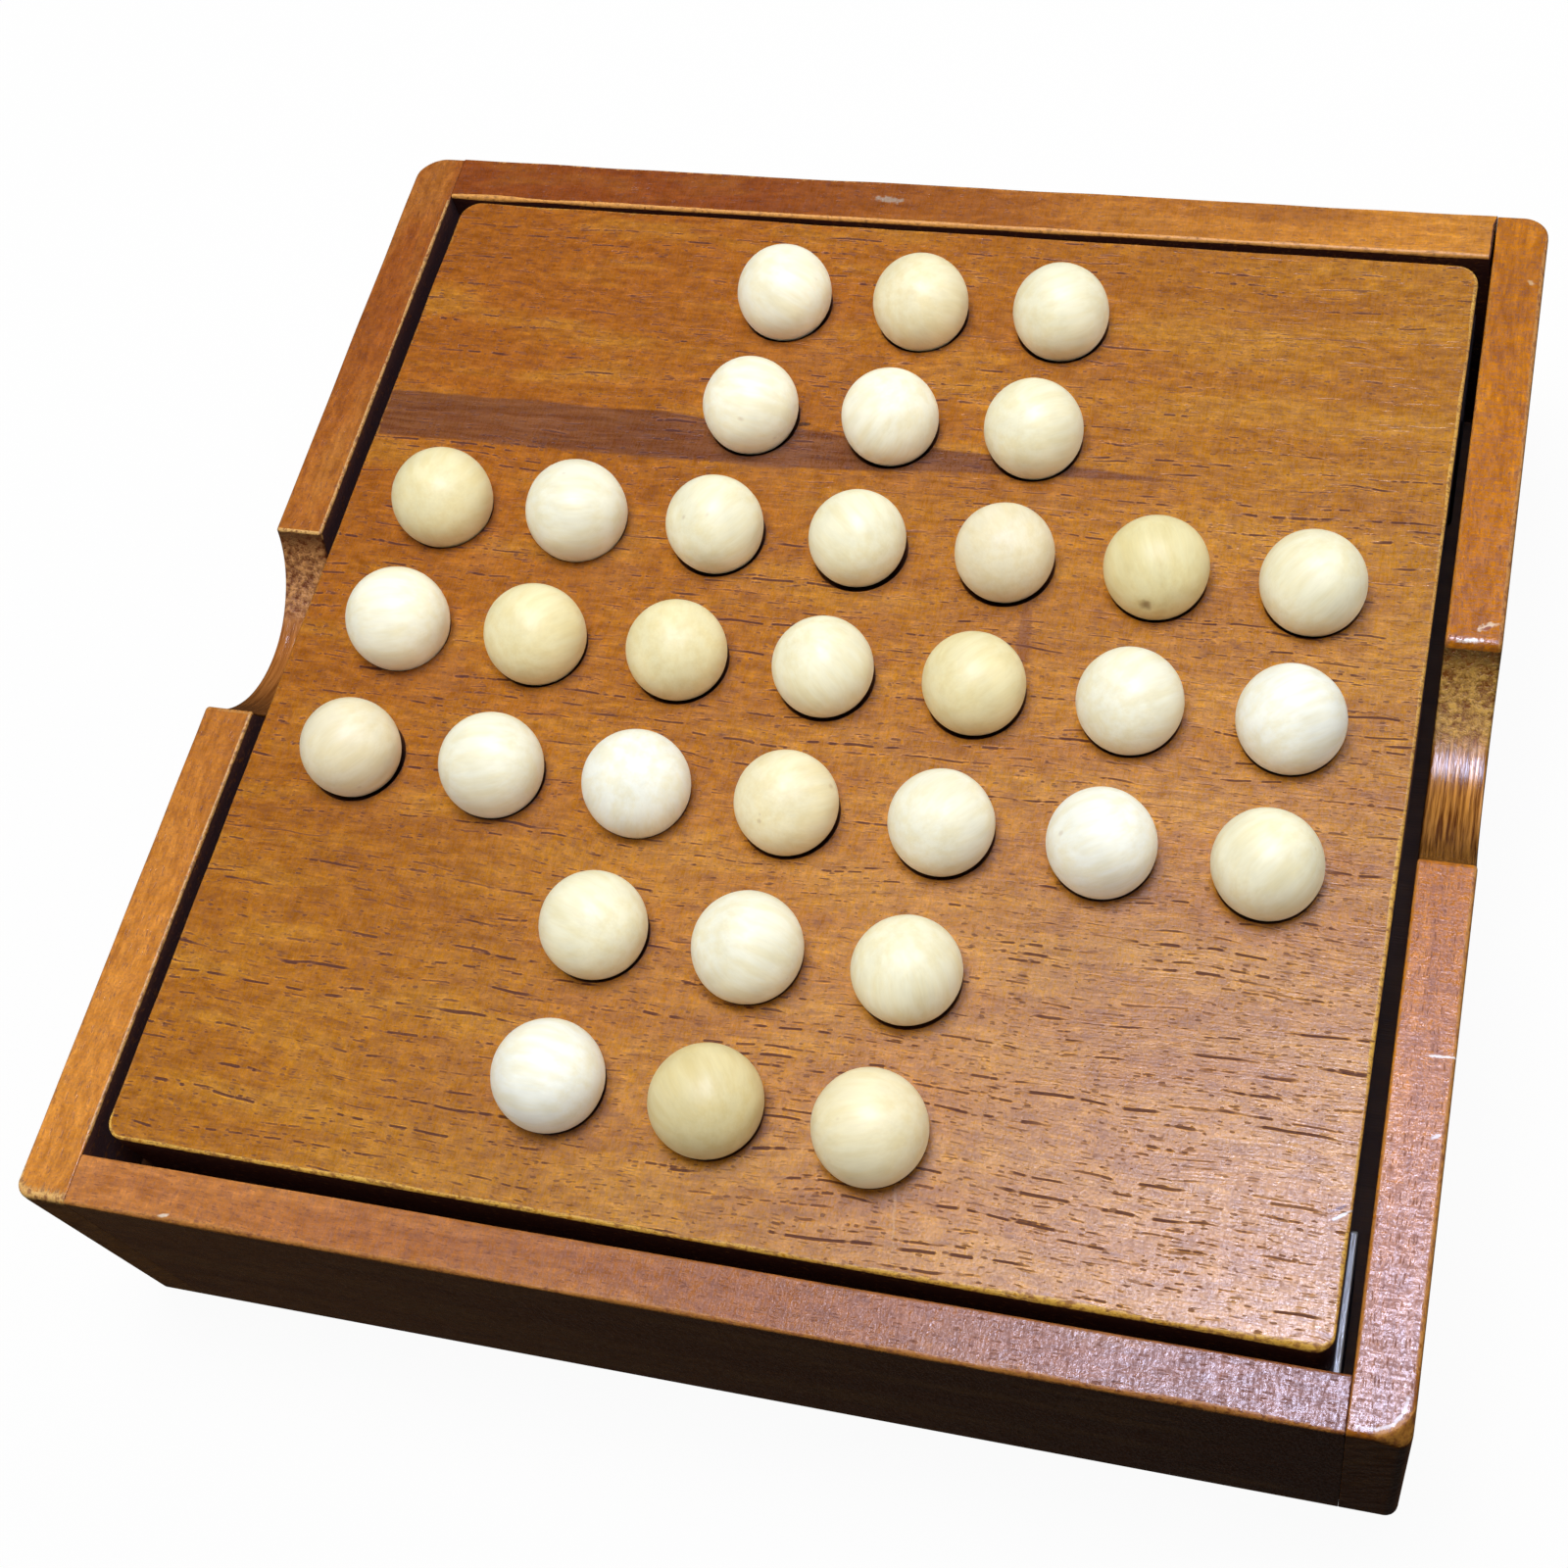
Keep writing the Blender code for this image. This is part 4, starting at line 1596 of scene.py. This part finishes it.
def main() -> None:
    """Builds the pieces in order, each standing for its CAD node, and sets the scene."""
    logging.basicConfig(level=logging.INFO, format="%(name)s: %(message)s")
    board_wood = StainedWood(
        "satin_stained_board_wood", Grain.SIDE_TO_SIDE, "#AE661E", "#C28422", (-70, 45), "#9A581C",
        "#CC9034", pores=BOARD_PORES, rows=BOARD_ROWS, worn_tone="#F4C050", tone_lean=0.8, figure=0.4,
        mottle=1.3, stave=True,
        marks=(
            Mark(18.4, 6.5, 12.0, 1.8, -84, "#7A4424", 0.6),
            Mark(54.6, -44.3, 1.7, 0.4, 28, "#5A3030", 0.8),
            Mark(54.8, -44.9, 1.9, 0.35, 35, "#F2F0F6", 0.95),
            Mark(18.0, -50.5, 12.0, 0.3, -80, "#D2A468", 0.35),
            Mark(-9.0, 29.6, 2.0, 0.7, 5, "#3A1C10", 0.8)))
    # The dimples are painted darker than the board: painted shade under the balls.
    dimple_shade_wood = StainedWood(
        "drilled_board_wood", Grain.SIDE_TO_SIDE, "#6A3A18", "#744520", (-50, 50), "#4E2A12", "#7C4C24",
        pores=BOARD_PORES, roughness=0.55)
    left_wood = StainedWood(
        "satin_stained_left_rail", Grain.FRONT_TO_BACK, "#E8993F", "#A65C24", (-55, 40), "#925220",
        "#C4843E", worn_tone="#F4C070", figure=0.4, sanding=0.008, mottle=1.2)
    right_wood = StainedWood(
        "satin_stained_right_rail", Grain.FRONT_TO_BACK, "#9A5A1A", "#D08018", (-64, -34), "#A05C20",
        "#CC8A3A", worn_tone="#D2903A", sanding=0.02, grit_mm=0.03, roughness=0.22, dull_specks=0.24,
        mottle=1.2,
        marks=(
            Mark(61.3, -29.8, 2.6, 0.3, 4, "#FFF4F2", 1.0), Mark(61.6, -36.9, 1.2, 0.5, 30, "#F2EAF0", 0.9),
            Mark(61.3, 53.9, 1.0, 0.6, -30, "#E0BE94", 0.75),
            # Painted highlights: glints on the rounded back crest of the notch, with a red-brown spot in
            # the second.
            Mark(59.6, 11.5, 2.8, 0.55, 6, "#FFF6F0", 0.95), Mark(60.9, 13.1, 2.2, 0.8, 30, "#F8DCC0", 0.9),
            Mark(60.9, 12.9, 1.3, 0.45, 20, "#93401C", 0.9),
            # Painted highlight: a pale line of glints along the rounded top of the front corner.
            Mark(61.6, -59.55, 2.2, 0.4, 78, "#FFF2FA", 0.65),
            Mark(61.14, -60.56, 2.0, 0.4, 55, "#FFF2FA", 0.85),
            Mark(60.27, -61.34, 2.0, 0.4, 30, "#FFF2FA", 0.85),
            Mark(59.04, -61.7, 2.2, 0.4, 5, "#FFF2FA", 0.65)))
    back_wood = StainedWood(
        "satin_stained_back_rail", Grain.SIDE_TO_SIDE, "#944C1E", "#E29634", (-22, 52), "#84441B",
        "#B87830", worn_tone="#F4AE54", stain_left=0.3, mottle=1.1,
        marks=(Mark(-6.6, 60.0, 4.2, 1.0, -3, "#B9AFA2", 0.6),))
    front_wood = StainedWood(
        "satin_stained_front_rail", Grain.SIDE_TO_SIDE, "#D88E4C", "#7E4824", (-58, 60), "#A05C2C",
        "#C98B4C", worn_tone="#D08E3C", sanding=0.015, grit_mm=0.03, roughness=0.22, dull_specks=0.28,
        mottle=1.1, marks=(Mark(-47.2, -61.9, 1.2, 0.4, 20, "#F2DFC8", 0.9),))

    finish = {
        "board": board_wood.build(), "dimple": dimple_shade_wood.build(), "left": left_wood.build(),
        "right": right_wood.build(), "back": back_wood.build(), "front": front_wood.build(),
        "left notch": NotchWood(
            "rubbed_left_notch", ("#7C4016", "#F0AC66"), ("#9A5A24", "#CC8240"), 0.06).build(),
        "right notch": NotchWood(
            "rubbed_right_notch", ("#96581A", "#FFC862"), ("#703A10", "#EAA048"), 0.08).build(),
        "ball": TurnedWood().build(),
        # The blocks stand in the shade under the board: their dark tones are painted shade, and the front
        # right one keeps a narrow glossy white strip.
        "shaded block with pale strip": BareWood(
            "stain_soaked_softwood_with_bare_strip", "#3A2213", "#2A170C", Grain.FRONT_TO_BACK, 1.2,
            pale_strip_mm=(55.7, 56.15)).build(),
        "block": BareWood("stain_soaked_softwood", "#442814", "#301A0C", Grain.FRONT_TO_BACK, 1.2).build(),
        "base": BareWood("plywood_face", "#7A4E28", "#5C3617", Grain.SIDE_TO_SIDE, 2.4).build()}

    SideRail(
        "stained_left_rail", "left_rail", -1, Corner(1.3 * MM, 1.5 * MM, 0.95, 0.9),
        Corner(3.3 * MM, 3.3 * MM), 0.25 * MM, 0.35 * MM, 0.75, 0.35, 1.0, 0.55, 1.0, 0.3 * MM,
        notch_half_width=10.75 * MM, notch_shift=0.0).build(finish["left"], finish["left notch"])
    SideRail(
        "stained_right_rail", "right_rail", 1, Corner(1.2 * MM, 3.6 * MM, 0.1, 1.0),
        Corner(2.6 * MM, 2.6 * MM), 0.3 * MM, 0.45 * MM, 0.65, 0.9, 2.0, 0.3, 0.35,
        1.1 * MM).build(finish["right"], finish["right notch"])
    inner_left, inner_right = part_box("left_rail")[1].x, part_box("right_rail")[0].x
    EndRail(
        "stained_front_rail", "front_rail", -1, 0.25 * MM, 0.4 * MM, 0.35, 0.7, 0.35, 0.8,
        3.0).build(finish["front"], inner_left, inner_right)
    EndRail(
        "stained_back_rail", "back_rail", 1, 0.35 * MM, 0.35 * MM, 1.0, 0.4, 0.0, 1.2, 5.0,
        right_opening=0.26 * MM).build(finish["back"], inner_left, inner_right)
    PlayingBoard().build(finish["board"], finish["dimple"])
    balls = BallSet().build(finish["ball"])
    InnerPiece("plywood_base_panel", "base_panel", "base_wood", 0.28 * MM).build(finish["base"])
    # Each block wears painted shade; the front right one keeps its pale strip.
    for place in ("front_left", "front_right", "back_right", "back_left"):
        bare = "shaded block with pale strip" if place == "front_right" else "block"
        InnerPiece(
            f"softwood_{place}_block", f"corner_block_{place}", "block_wood", 0.0).build(finish[bare])

    studio = Studio()
    studio.camera()
    studio.room()
    studio.floor()
    studio.lamps(balls)


if __name__ == "__main__":
    main()
